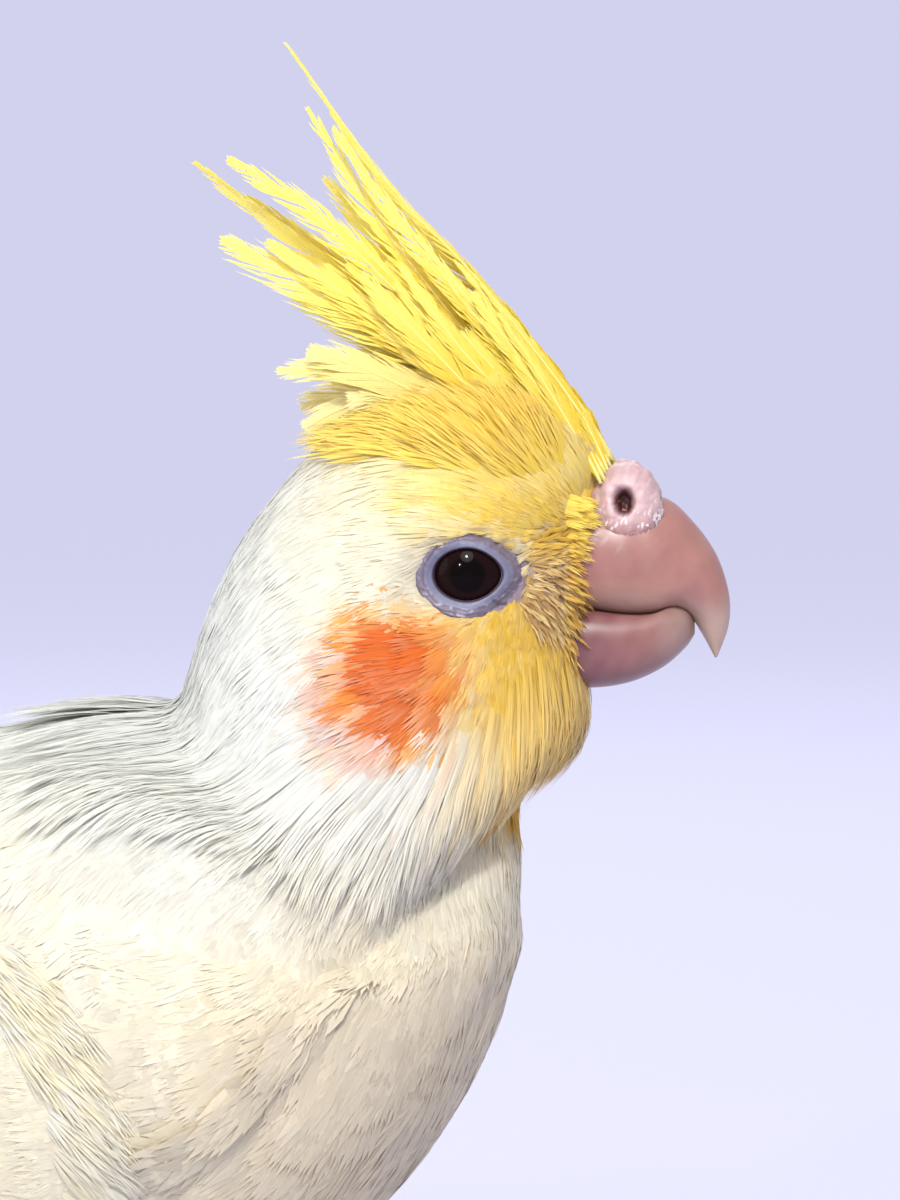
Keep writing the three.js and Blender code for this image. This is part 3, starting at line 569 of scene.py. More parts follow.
def build_skin():
    tail = loft(rings(TAIL_ROOT_BACK, TAIL_ROOT_BELLY, TAIL_ROOT_WIDTHS, np.linspace(-0.12, 1, 24), 40, 2.2,
                      grow=-0.6))
    parts = [loft(torso_rings()), loft(head_rings()), tail]
    for side in SIDES.values():
        parts += [wing_core(side), thigh_core(side)]
    co, quads = remeshed(parts, SKIN_VOXEL, SKIN_ROUNDS)
    normal = vertex_normals(co, quads)
    h = head_place(co)
    above = h[:, 2] - ruff_edge(h[:, 0])
    ruff = 0.9 * np.exp(-((above - 4.5) / 3) ** 2) - 2.2 * np.exp(-((above + 2.5) / 3.2) ** 2)
    beyond = co[:, 0] - bend_edge(co[:, 2])
    bend = 1.0 * np.exp(-((beyond + 5) / 3.6) ** 2) - 1.5 * np.exp(-((beyond - 1.6) / 2.0) ** 2)
    bend *= smooth(12, 17, np.abs(co[:, 1])) * smooth(74, 67, co[:, 2]) * smooth(32, 40, co[:, 2])
    co = dish_eyes(co + normal * (ruff * smooth(-36, -29, h[:, 0]) + bend - coat_depth(h))[:, None])
    return co, quads


def vertex_normals(points, quads):
    across = np.cross(points[quads[:, 2]] - points[quads[:, 0]], points[quads[:, 3]] - points[quads[:, 1]])
    total = np.zeros_like(points)
    for k in range(3):
        for corner in range(4):
            total[:, k] += np.bincount(quads[:, corner], across[:, k], len(points))
    return unit(total)


SKIN_POINTS, SKIN_QUADS = build_skin()
SKIN_NORMALS = vertex_normals(SKIN_POINTS, SKIN_QUADS)
SKIN_TREE = BVHTree.FromPolygons(SKIN_POINTS.tolist(), SKIN_QUADS.tolist())


def skin_unwrap(points):
    """Each place on an unwrap of the skin's own shape: along the body, and round it."""
    h = head_place(points)
    head = smooth(-30, -26, h[..., 2]) > 0.5
    round_head = np.arctan2(h[..., 1], h[..., 0] + 7) / (2 * np.pi) + 0.5
    up_head = np.clip((h[..., 2] + 30) / 48, 0, 1)
    middle = np.interp(points[..., 0], [-60, 0, 60, 115], [46, 54, 56, 60])
    round_body = np.arctan2(points[..., 1], points[..., 2] - middle) / (2 * np.pi) + 0.5
    along_body = np.clip((points[..., 0] + 60) / 178, 0, 1)
    u = np.where(head, 0.01 + 0.98 * round_head, 0.01 + 0.98 * round_body)
    v = np.where(head, 0.66 + 0.33 * up_head, 0.01 + 0.62 * along_body)
    return np.stack([u, v], -1)


skin = make_mesh("skin", SKIN_POINTS, SKIN_QUADS, DOWN, "plumage_white",
                 ("head", "neck", "torso", "thigh_left", "thigh_right"))
SKIN_PLACE = head_place(SKIN_POINTS)
NEAR_EYE = smooth(1.5, 1.0, oval(SKIN_PLACE[:, 0], SKIN_PLACE[:, 2], DARK_RING))
NEAR_EYE = (NEAR_EYE * smooth(5, 7, np.abs(SKIN_PLACE[:, 1])))[:, None]
paint(skin, mix(plumage_colour(SKIN_PLACE), screen(120, 104, 116), NEAR_EYE))
uv_layer(skin, "OFBake", skin_unwrap(SKIN_POINTS))


def onto_skin(points):
    """Nearest place and normal on the skin, for each point."""
    place = np.empty_like(points)
    normal = np.empty_like(points)
    for i, p in enumerate(points):
        found, way, _, _ = SKIN_TREE.find_nearest(p)
        place[i] = found
        normal[i] = way
    return place, normal


# The lie of the coat

# How steeply the head's feathers fall behind each place of the head's plane:
# x, z, degrees below straight back
HEAD_LIE = [
    (9.5, 8, -52), (4, 10, -38), (0, 6.5, -12), (7, 5, -26), (-6, 3.5, 6), (-12, 3, 26), (-18, -2, 50),
    (-10, 9, 14),
    (-17, 5, 42), (-22, -8, 62), (-9, -1, 30), (-15.8, -8, 43), (-6, -4.5, 6), (-7, -9, 20), (-5, -13, 42),
    (-18, -18, 46), (-9, -20, 60), (0.7, -13, 62), (0.5, -20, 78), (5.5, -6.5, 80), (9, -5, 92),
    (7.5, -12, 90),
    (4, -16, 92), (4, -24, 95), (-20, -28, 52), (-10, -30, 66), (8, 1, 30), (8.5, -1.5, 75),
]
HEAD_LIE_REACH = 3.0


def head_lie(x, z):
    total = np.zeros(x.shape + (2,))
    for px, pz, fall in HEAD_LIE:
        weight = 1 / ((x - px) ** 2 + (z - pz) ** 2 + HEAD_LIE_REACH) ** 2
        total[..., 0] -= weight * math.cos(math.radians(fall))
        total[..., 1] -= weight * math.sin(math.radians(fall))
    total = unit(total)
    return np.stack([total[..., 0], np.zeros_like(x), total[..., 1]], -1)


def lie_of(points):
    """The way the feathers point at each place, before it is laid along the skin."""
    h = head_place(points)
    x, z = h[..., 0], h[..., 2]
    head_way = turn_head(head_lie(x, z), z)
    front = smooth(92, 112, points[..., 0])
    body_way = np.stack([mix(-1.0, -0.25, front), np.zeros_like(front), mix(-0.28, -1.0, front)], -1)
    low = smooth(52, 36, points[..., 2]) * smooth(100, 80, points[..., 0])
    body_way[..., 2] = mix(body_way[..., 2], -0.05, low)
    leg = smooth(33, 26, points[..., 2])
    body_way = mix(body_way, np.broadcast_to(np.array([-0.4, 0, -1.0]), h.shape), leg[..., None])
    body = (smooth(-18, -34, z - 0.25 * (x + 12)))[..., None]
    return unit(mix(head_way, unit(body_way), body))


def laid(way, normal):
    return unit(way - (way * normal).sum(-1, keepdims=True) * normal)


# Sizes of the small feathers by place, in millimetres

def feather_length(h, points):
    x, z = h[..., 0], h[..., 2]
    length = np.full(x.shape, 4.6)
    length = mix(length, 6.2, smooth(-6, -20, z))
    length = mix(length, 6.6, smooth(-8, -16, x))
    length = mix(length, 9.0, smooth(-24, -40, z))
    length = mix(length, 9.5, smooth(-30, -50, x))
    near_face = np.hypot((x - 6) / 8, (z + 1) / 7.5)
    length = mix(length, 1.7, smooth(1.15, 0.45, near_face))
    crown = smooth(5, 9.5, z) * smooth(-12, -4, x)
    length = mix(length, 6.8, crown)
    length = mix(length, 6.0, smooth(30, 22, points[..., 2]))
    beyond = points[..., 0] - bend_edge(points[..., 2])
    length = mix(length, 5.6, smooth(-16, -10, beyond) * smooth(1, -2, beyond)
                 * smooth(72, 66, points[..., 2]))
    patch = np.exp(-oval(x, z, EAR_FEATHERS))
    length = mix(length, 5.4, patch)
    length = mix(length, 3.4, smooth(6, 8, x) * smooth(-3, -8, z))
    return mix(length, 5.0, smooth(-8, -2, x) * smooth(-8, -12, z) * smooth(-26, -20, z))


def bare(h):
    """Where no coat grows: the bill and cere, and the ring round each eye."""
    x, y, z = h[..., 0], np.abs(h[..., 1]), h[..., 2]
    ring = oval(x, z, BARE_RING) < 1
    bill = (x > 9.3) & (y < 5.2) & (z < 6.4) & (z > -9.8)
    return (ring & (y > 4)) | bill


def torso_place(points):
    """Share along the torso and angle from the back down the side, for points near the torso."""
    shares = np.linspace(0, 1, 200)
    middle = (curve(BACK_LINE, shares) + curve(BELLY_LINE, shares)) / 2
    u = np.interp(points[:, 0], middle[:, 0], shares)
    back, belly = curve(BACK_LINE, u), curve(BELLY_LINE, u)
    half = np.linalg.norm(back - belly, axis=1) / 2
    rise = (points[:, 2] - (back + belly)[:, 1] / 2) / half
    return u, np.arctan2(np.abs(points[:, 1]) / curve(TORSO_WIDTHS, u), rise)


def under_wing_feathers(points):
    """Places that the tiers of the wing cover."""
    u, angle = torso_place(points)
    f = np.arcsin(np.clip((u - WING_BACK) / (WING_FRONT - WING_BACK), 0, 1)) / (np.pi / 2)
    inside = (angle > curve(WING_UPPER, f) + 0.08) & (angle < curve(WING_LOWER, f) - 0.05)
    return inside & (u < 0.48) & (u > WING_BACK - 0.02) & (points[:, 2] < 90)


def sample_roots(spacing_of, seed):
    """Roots spread over the skin at the spacing that each place asks for."""
    rng = np.random.default_rng(seed)
    tri = np.concatenate([SKIN_QUADS[:, [0, 1, 2]], SKIN_QUADS[:, [0, 2, 3]]])
    a, b, c = (SKIN_POINTS[tri[:, k]] for k in range(3))
    area = np.linalg.norm(np.cross(b - a, c - a), axis=1) / 2
    spacing = spacing_of((a + b + c) / 3)
    wanted = area / spacing ** 2 * 5
    pick = np.repeat(np.arange(len(tri)), rng.poisson(wanted))
    r1, r2 = np.sqrt(rng.random(len(pick))), rng.random(len(pick))
    points = (1 - r1)[:, None] * a[pick] + (r1 * (1 - r2))[:, None] * b[pick] + (r1 * r2)[:, None] * c[pick]
    order = rng.permutation(len(points))
    points, pick = points[order], pick[order]
    step = spacing_of(points)
    level = np.round(np.log(step) / np.log(1.15)).astype(int)
    cell = 1.15 ** level
    key = np.floor(points / cell[:, None]).astype(int)
    _, first = np.unique(np.concatenate([key, level[:, None]], 1), axis=0, return_index=True)
    return points[first]


# Tufts: little feathers, each a fan of fine barbs

PIECE_TRIANGLES = 190000


def barb_faces(rows):
    """Triangles of one barb: pairs of points up to its single tip."""
    faces = []
    for k in range(rows - 2):
        a = 2 * k
        faces += [[a, a + 3, a + 1], [a, a + 2, a + 3]]
    a = 2 * (rows - 2)
    return np.array(faces + [[a, a + 2, a + 1]])


def walk(roots, lengths, steps=3, wobble=0.0):
    """Each feather's middle line over the skin: points, sideways and outward directions."""
    place, normal = onto_skin(roots)
    points, sides, ups = [place], [], [normal]
    way = laid(lie_of(place), normal)
    turn = np.broadcast_to(wobble, len(roots))[:, None]
    way = way * np.cos(turn) + np.cross(normal, way) * np.sin(turn)
    sides.append(np.cross(normal, way))
    for _ in range(steps):
        ahead = place + way * (lengths / steps)[:, None]
        place, normal = onto_skin(ahead)
        turned = laid(lie_of(place), normal)
        way = unit(mix(laid(way, normal), turned, 0.35))
        points.append(place)
        ups.append(normal)
        sides.append(np.cross(normal, way))
    return np.stack(points, 1), unit(np.stack(sides, 1)), unit(np.stack(ups, 1))


def at_share(line, s):
    """Values of a line (n, k, 3) at shares s (n, m) along it."""
    last = line.shape[1] - 1
    t = np.clip(s, 0, 1) * last
    i = np.minimum(t.astype(int), last - 1)
    w = (t - i)[..., None]
    rows = np.arange(len(line))[:, None]
    return line[rows, i] * (1 - w) + line[rows, i + 1] * w


def tufts(name, lines, lengths, widths, lifts, colours, tips, barbs, barb_width, material, slot, seed,
          loose=0.12, rounding=0.5, rows=4, gather=0.0, rough=1.0, fray=2.2):
    """Joined meshes of many tufts. lines are points, sides and ups from walk."""
    rng = np.random.default_rng(seed)
    points, sides, ups = lines
    n = len(points)
    home = skin_unwrap(points[:, 0])
    template = barb_faces(rows)
    per_piece = PIECE_TRIANGLES // (barbs * len(template))
    shares = np.linspace(0, 1, rows)
    pairs = np.repeat(np.arange(rows), 2)[:-1]
    for part, start in enumerate(range(0, n, per_piece)):
        pick = slice(start, min(n, start + per_piece))
        m = pick.stop - pick.start
        q = np.linspace(-1, 1, barbs)[None] + rng.normal(0, 0.5 / barbs, (m, barbs))
        reach = np.sqrt(np.clip(1 - rounding * q ** 2, 0.1, 1)) * (1 - loose * rng.random((m, barbs)) ** 2
                                                                   * 2)
        s = reach[..., None] * shares
        flat = s.reshape(m, -1)
        centre = at_share(points[pick], flat).reshape(m, barbs, rows, 3)
        side = at_share(sides[pick], flat).reshape(m, barbs, rows, 3)
        up = at_share(ups[pick], flat).reshape(m, barbs, rows, 3)
        wide = widths[pick][:, None, None] / 2
        stray = rng.normal(0, 0.02 + 0.9 * loose, (m, barbs))[..., None] * s ** 1.6
        opened = mix(0.12 + 0.88 * s ** 0.8, 1.0 - 0.92 * s ** 0.7, gather)
        offset = wide * (q[..., None] * opened + stray)
        height = lifts[pick][:, None, None] * (s ** 0.8) * (1 - 0.35 * s)
        height = height - (wide * 0.09) * q[..., None] ** 2 * s + rng.normal(0, 0.05 * rough, (m, barbs))[...,
                                                                                                          None] * s
        middle = centre + side * offset[..., None] + up * (height + 0.02)[..., None]
        taper = (0.7 + 0.9 * shares) * (1 - shares ** fray) * barb_width[pick][:, None, None] / 2
        roll = (rng.normal(0, 0.16 * rough, (m, barbs)) - 0.18 * q)[..., None, None]
        across = side * np.cos(roll) + up * np.sin(roll)
        edge = np.where(np.arange(len(pairs)) % 2, 1.0, -1.0)
        edge[-1] = 0
        corners = middle[:, :, pairs] + across[:, :, pairs] * (taper[..., pairs] * edge)[..., None]
        facing = unit(np.cross(np.gradient(middle, axis=2), across))
        normal = unit(mix(unit(up + side * (0.45 * q[..., None, None])), facing, 0.8))[:, :, pairs]
        shade = 1 + rng.normal(0, 0.035, (m, barbs))[..., None, None]
        grade = s[..., pairs][..., None]
        colour = mix(colours[pick][:, None, None], tips[pick][:, None, None], grade) * shade
        total = m * barbs
        faces = template[None] + len(pairs) * np.arange(total)[:, None, None]
        title = f"{name}_{part + 1}" if n > per_piece else name
        obj = make_mesh(title, corners.reshape(-1, 3), faces.reshape(-1, 3), material, slot)
        paint(obj, np.clip(colour, 0, 1).reshape(-1, 3))
        x = offset[..., pairs] + edge * taper[..., pairs]
        length = lengths[pick][:, None, None]
        y = s[..., pairs] * length
        chance = rng.random((m, 1, 1)) * 50
        uv_layer(obj, "Strand", np.stack([(x + chance).ravel(), (y + chance).ravel()], -1))
        patch = np.stack([x / np.maximum(wide * 2, 0.1), y / np.maximum(length, 0.1) - 0.5], -1) * 0.003
        spot = home[pick][:, None, None] + np.clip(patch, -0.0015, 0.0015)
        uv_layer(obj, "OFBake", spot.reshape(-1, 2))
        obj.data.normals_split_custom_set_from_vertices(normal.reshape(-1, 3).astype(np.float32))


def coat(name, roots, barbs, barb_share, width_share, lift, material, slot, seed, loose=0.12, rough=1.0,
         fray=2.2, wobble=0.0):
    h = head_place(roots)
    rng = np.random.default_rng(seed)
    lengths = feather_length(h, roots) * rng.uniform(0.85, 1.15, len(roots))
    lines = walk(roots, lengths, wobble=rng.normal(0, wobble, len(roots)))
    stray = rng.normal(0, 0.7, h.shape)
    colour = plumage_colour(head_place(lines[0][:, 1]) + stray)
    ending = plumage_colour(head_place(lines[0][:, -1]) + stray)
    vivid = (ending.max(-1) - ending.min(-1))[:, None]
    pale = rng.random((len(roots), 1)) ** 2
    # paler tips: painted light, whitened a little on white feathers and brightened on coloured ones; the cream on
    # some coloured tips is their own colour
    tip = mix(mix(ending, np.ones(3), 0.1), mix(ending * 1.03, CREAM, 0.35 * pale), smooth(0.15, 0.6, vivid))
    own = rng.uniform(0.93, 1.04, (len(roots), 1))
    colour, tip = colour * own, tip * own
    crown = smooth(6, 10, h[:, 2]) * smooth(-10, -2, h[:, 0])
    swell = 1 + 0.45 * noise(roots, 0.16, 17) + 0.5 * crown
    level = smooth(0.2, 0.8, lines[2][:, 0, 2])
    lifts = lift * (0.35 + 0.09 * lengths) * rng.uniform(0.75, 1.25, len(roots)) * swell * (1 - 0.6 * level)
    # colour * 0.92 darkens each tuft at its root: painted shade where the feathers ahead cover it
    tufts(name, lines, lengths, lengths * width_share, lifts, colour * 0.92, tip, barbs, lengths * barb_share,
          material, slot, seed, loose=loose, rough=rough, fray=fray)


def root_spacing(share, least, most):
    def spacing(points):
        return np.clip(feather_length(head_place(points), points) * share, least, most)
    return spacing


def grow_coat():
    roots = sample_roots(root_spacing(0.155, 0.34, 1.7), 5)
    h = head_place(roots)
    in_crest = (np.abs(h[:, 1]) < 3.5) & (h[:, 2] > 11.5) & (h[:, 0] > -4)
    keep = ~bare(h) & ~in_crest & ~under_wing_feathers(roots)
    roots, h = roots[keep], h[keep]
    x, z = h[:, 0], h[:, 2]
    head = z > -24 - 0.2 * (x + 10)
    lores = np.hypot((x - 7) / 3.4, (z + 0.2) / 4.2) < 1
    thin = lores & (np.random.default_rng(4).random(len(roots)) < 0.8)
    coat("coat_head", roots[head & ~thin], 12, 0.056, 0.56, 0.62, FACE_FEATHER, "plumage_white", 7, loose=0.1,
         rough=0.6, wobble=0.16, fray=3)
    coat("coat_body", roots[~head], 12, 0.115, 0.84, 0.5, FEATHER, "plumage_white", 8, loose=0.03, rough=0.3,
         wobble=0.2, fray=4)


grow_coat()


def scattered(spacing, seed):
    """Roots at an even spacing over the skin, and their places in the head's plane."""
    roots = sample_roots(lambda p: np.full(len(p), spacing), seed)
    return roots, head_place(roots)


def heading(fall, z, aside=0.0):
    """Forward directions that fall by an angle, turned with the head at height z."""
    return turn_head(np.stack([np.cos(fall), np.broadcast_to(aside, fall.shape), -np.sin(fall)], -1), z)


def grow_ruff():
    """Long loose feathers round the foot of the head, standing a little off the breast."""
    rng = np.random.default_rng(76)
    roots, h = scattered(0.95, 77)
    above = h[:, 2] - ruff_edge(h[:, 0])
    spots = roots[(above > 4.5) & (above < 12) & (np.abs(h[:, 1]) > 1.5) & (h[:, 0] > -30)]
    h = head_place(spots)
    lengths = (ruff_edge(h[:, 0]) - h[:, 2]) * -0.75 + rng.uniform(1.5, 4.5, len(spots))
    lines = walk(spots, lengths, steps=4)
    stray = rng.normal(0, 1, h.shape)
    colour = plumage_colour(head_place(lines[0][:, 1]) + stray)
    ending = plumage_colour(head_place(lines[0][:, -1]) + stray)
    # darker roots (colour * 0.93) and tips mixed toward white: painted shade at the covered roots and painted
    # light at the tips
    tufts("ruff_feathers", lines, lengths, rng.uniform(1.4, 2.6, len(spots)),
          rng.uniform(1.2, 2.6, len(spots)),
          colour * 0.93, mix(ending, np.ones(3), 0.15), 13, np.full(len(spots), 0.15), FACE_FEATHER,
          "plumage_white", 78, gather=0.45, loose=0.22, rounding=0.5, rough=0.8, rows=5)


def straight(roots, way, lengths, rise, cling=1.0):
    """Lines that keep one direction from their roots and rise from the skin, as walk gives them."""
    place, normal = onto_skin(roots)
    way = np.broadcast_to(way, roots.shape)
    ahead = unit(way - cling * (way * normal).sum(-1, keepdims=True) * normal)
    normal = laid(normal, ahead)
    run = lengths[:, None, None] * np.linspace(0, 1, 4)[None, :, None]
    points = place[:, None] + (ahead + rise * normal)[:, None] * run
    sides = np.repeat(np.cross(normal, ahead)[:, None], 4, 1)
    return points, sides, np.repeat(normal[:, None], 4, 1)


def grow_bristles():
    """Stiff little feathers over the lores, and pointed tufts under the chin."""
    rng = np.random.default_rng(70)
    roots, h = scattered(0.42, 71)
    x, z = h[:, 0], h[:, 2]
    lores = (np.hypot((x - 7.2) / 3.2, (z + 0.9) / 4.3) < 1) & ~bare(h)
    spots, x, z = roots[lores], x[lores], z[lores]
    fall = np.radians(mix(70, -35, smooth(-5, 5, z)) + rng.normal(0, 14, len(z)))
    way = heading(fall, z)
    lengths = rng.uniform(1.1, 2.3, len(spots))
    tone = mix(screen(240, 214, 150), screen(178, 134, 84), rng.random((len(spots), 1)))
    tone = mix(tone, FACE_YELLOW, (0.8 * smooth(0, 2.6, z))[:, None])
    # darker roots (tone * 0.86): painted shade at the foot of each bristle
    tufts("lores_bristles", straight(spots, way, lengths, 0.2, cling=0.7), lengths, np.full(len(spots), 0.4),
          rng.uniform(0.15, 0.4, len(spots)), tone * 0.86, tone, 3, np.full(len(spots), 0.13), FACE_FEATHER,
          "plumage_yellow", 72, rough=0.5)
    roots, h = scattered(1.25, 73)
    x, z = h[:, 0], h[:, 2]
    chin = (x > 4.2 - 0.1 * (z + 16)) & (z < -8.5) & (z > -20) & (np.abs(h[:, 1]) < 11)
    spots = roots[chin]
    lengths = rng.uniform(4.5, 8.0, len(spots))
    tone = mix(FACE_YELLOW, MUSTARD, smooth(-9, -17, head_place(spots)[:, 2])[:, None]
               * rng.uniform(0.4, 1, (len(spots), 1)))
    tufts("chin_tufts", walk(spots, lengths), lengths, np.full(len(spots), 1.9),
          rng.uniform(0.5, 1.3, len(spots)),
          tone, tone * 0.96, 9, np.full(len(spots), 0.34), FACE_FEATHER, "plumage_yellow", 74, gather=0.8,
          rounding=0.3)


def grow_bill_fringe(rng):
    """Small feathers over the bill's root."""
    roots, h = scattered(0.5, 85)
    x, y, z = h[:, 0], np.abs(h[:, 1]), h[:, 2]
    near = (x > 7.6) & (z > -10) & (z < 6) & (y > 2.4)
    spots, z = roots[near], z[near]
    fall = np.radians(mix(78, 12, smooth(-9, 6, z)) + rng.normal(0, 9, len(z)))
    way = heading(fall, z, 0.32 * np.sign(h[near, 1]))
    lengths = rng.uniform(1.3, 2.6, len(spots))
    tone = mix(screen(244, 214, 112), screen(220, 176, 84), rng.random((len(spots), 1)))
    tone = mix(tone, screen(246, 222, 108), smooth(0.5, 4, z)[:, None])
    # darker roots (tone * 0.9): painted shade where the little feathers overlap
    tufts("bill_root_fringe", straight(spots, way, lengths, 0.05, cling=0.0), lengths, lengths * 0.45,
          rng.uniform(0.1, 0.35, len(spots)), tone * 0.9, tone, 7, np.full(len(spots), 0.13), FACE_FEATHER,
          "plumage_yellow", 86, gather=0.5, rounding=0.4)


def grow_crown_tufts(rng):
    """Short feathers that carry the crown into the crest."""
    roots, h = scattered(0.62, 89)
    x, z = h[:, 0], h[:, 2]
    near = (z > 6.8 + 0.22 * np.abs(x - 6)) & (x > -8) & (x < 8.4) & ((z < 12.5) | (np.abs(h[:, 1]) > 3))
    spots, x, z = roots[near], x[near], z[near]
    climb = np.radians(mix(12, 42, smooth(-8, 9, x)) + rng.normal(0, 7, len(x)))
    way = turn_head(np.stack([-np.cos(climb), np.zeros(len(x)), np.sin(climb)], -1), z)
    lengths = rng.uniform(4.0, 8.0, len(spots))
    tone = mix(LEMON, screen(240, 216, 100), (rng.random(len(spots)) * 0.7 + 0.3 * smooth(2, -8, x))[:, None])
    # darker roots (tone * 0.92): painted shade where the tufts overlap; the cream on their tips is their own
    # colour
    tufts("crown_tufts", straight(spots, way, lengths, 0.07), lengths, lengths * 0.36,
          rng.uniform(0.2, 0.7, len(spots)), tone * 0.92, mix(tone, CREAM, 0.25), 13,
          np.full(len(spots), 0.17),
          FACE_FEATHER, "plumage_yellow", 90, gather=0.25, loose=0.2)


def grow_bend_plumes(rng):
    """Soft plumes at the front of the folded wing."""
    roots, _ = scattered(1.0, 87)
    beyond = roots[:, 0] - bend_edge(roots[:, 2])
    near = (beyond > -5) & (beyond < 0.2) & (roots[:, 2] > 36) & (roots[:,
                                                                        2] < 68) & (np.abs(roots[:, 1]) > 12)
    spots = roots[near]
    lengths = rng.uniform(3.8, 6.5, len(spots))
    tone = mix(WHITE, CREAM, rng.random((len(spots), 1)))
    # darker roots (tone * 0.93): painted shade where the plumes overlap
    tufts("wing_bend_plumes", straight(spots, (0.72, 0, -0.7), lengths, 0.05), lengths, lengths * 0.5,
          rng.uniform(0.4, 1.0, len(spots)), tone * 0.93, tone, 18, np.full(len(spots), 0.16), FEATHER,
          "plumage_white", 88, gather=0.1, loose=0.25, rounding=0.5)


grow_ruff()
grow_bristles()
FRINGE_RNG = np.random.default_rng(84)
grow_bill_fringe(FRINGE_RNG)
grow_crown_tufts(FRINGE_RNG)
grow_bend_plumes(FRINGE_RNG)


# Crest: plumes with a shaft and fine barbs, long ones on the brow to short ones on the crown

CREST_GUIDES = np.array([
    [(12.2, 8.8), (9.1, 13.8), (4.6, 19.5), (-0.5, 25.3), (-6.4, 31.4), (-14.5, 42.7)],
    [(10.6, 9.8), (5.6, 14.2), (0.3, 19.1), (-4.2, 24.4), (-8.6, 30), (-13.1, 36.9)],
    [(8.8, 10.6), (3.6, 14.6), (-1.6, 19), (-6.8, 24.2), (-12.4, 29.2), (-19, 33.3)],
    [(7.6, 11), (2.5, 14.4), (-2.8, 18.4), (-8.7, 22.8), (-15, 27.6), (-21.9, 33)],
    [(6.5, 11.6), (3, 14.2), (-1.6, 17.2), (-7, 20.3), (-13, 23.3), (-19.7, 26.6)],
    [(3.5, 12.2), (0, 13.6), (-3.9, 14.9), (-7.8, 15.9), (-11.5, 16.3), (-15.3, 16)],
    [(-0.5, 12.8), (-3, 13.9), (-5.6, 14.2), (-8.2, 13.8), (-10.8, 12.8), (-13.1, 11.4)],
])
LONG_PLUMES = [  # place among the guides, share of their length, lean to the side, width
    (0, 1.0, -0.1, 3.4), (0.15, 0.9, 0.5, 3.4), (0.5, 0.9, -0.7, 3.2), (1, 1.0, -0.3, 3.2),
    (1.4, 0.86, 0.5, 3.2),
    (2, 1.0, -0.5, 3.4), (2.5, 0.88, 0.4, 3.0), (3, 1.0, 0.2, 2.4), (3.5, 0.84, -0.7, 3.0),
    (4, 1.0, -0.6, 4.2),
    (4.3, 0.86, 0.6, 3.6), (4.8, 0.84, -0.9, 3.4), (5, 1.0, -0.7, 2.6), (5.5, 0.95, 0.5, 2.8),
    (6, 1.0, -0.4, 2.6),
]
SHORT_PLUMES = 260
PLUME_BARBS, BARB_ROWS = 52, 4


def crest_plan():
    rng = np.random.default_rng(31)
    last = len(CREST_GUIDES) - 1
    plan = [(g / last, cut, lean, wide, 1.0) for g, cut, lean, wide in LONG_PLUMES]
    for _ in range(SHORT_PLUMES):
        cut = 0.15 + 0.55 * rng.random() ** 1.6
        plan.append((rng.random(), cut, rng.uniform(-1, 1), rng.uniform(1.8, 3.2), 0.4 + cut))
    return plan


def plume(path, sides, ups, width, rng):
    """One feather as barbs that sweep forward from a fine shaft: points, faces, shares along and across."""
    length = np.linalg.norm(np.diff(path, axis=0), axis=1).sum()
    count = PLUME_BARBS
    s0 = np.concatenate([np.linspace(0.02, 0.985, count)] * 2) + rng.normal(0, 0.006, 2 * count)
    hand = np.repeat([-1.0, 1.0], count)
    reach = width / 2 * np.clip(np.sin(np.pi * np.clip(s0, 0, 1) ** 0.75), 0.05, 1) ** 0.7
    reach = reach * rng.uniform(0.6, 1.15, 2 * count)
    forward = (0.9 + 3.0 * reach) / length
    t = np.linspace(0, 1, BARB_ROWS)[None]
    s = np.clip(s0[:, None] + forward[:, None] * t, 0, 1.0)
    out = hand[:, None] * reach[:, None] * np.sin(t * np.pi / 2) ** 1.3
    out = out + rng.normal(0, 0.06, (2 * count, 1)) * t
    beyond = np.maximum(s0[:, None] + forward[:, None] * t - 1, 0)
    centre, side, up = (at_share(values[None], s.reshape(1, -1)).reshape(2 * count, BARB_ROWS, 3)
                        for values in (path, sides, ups))
    side, up = unit(side), unit(up)
    ahead = unit(path[-1] - path[-2])
    drop = -0.22 * np.abs(out) ** 1.2 + rng.normal(0, 0.05, (2 * count, 1)) * t
    middle = centre + side * out[..., None] + up * drop[..., None] + ahead * (beyond * length * 0.35)[...,
                                                                                                      None]
    pairs = np.repeat(np.arange(BARB_ROWS), 2)[:-1]
    edge = np.where(np.arange(len(pairs)) % 2, 1.0, -1.0)
    edge[-1] = 0
    thick = (1.15 * length / count) * np.clip(0.35 + reach / width, 0.4, 0.8)
    taper = np.clip(thick, 0.1, 0.3)[:, None] * (1 - 0.55 * t) / 2
    along = unit(np.gradient(middle, axis=1))
    across = unit(np.cross(up, along))
    corners = middle[:, pairs] + across[:, pairs] * (taper[:, pairs] * edge)[..., None]
    normal = unit(mix(up, unit(np.cross(along, across)), 0.8))[:, pairs]
    faces = (barb_faces(BARB_ROWS)[None] + len(pairs) * np.arange(2 * count)[:, None, None]).reshape(-1, 3)
    shaft_radius = np.linspace(0.16, 0.03, 12)
    stem = tube(path + ups * 0.02, shaft_radius, 5)
    along_share, across_share = s[:, pairs].ravel(), (out / width)[:, pairs].ravel()
    return corners.reshape(-1, 3), faces, along_share, across_share, normal.reshape(-1, 3), loft(stem)


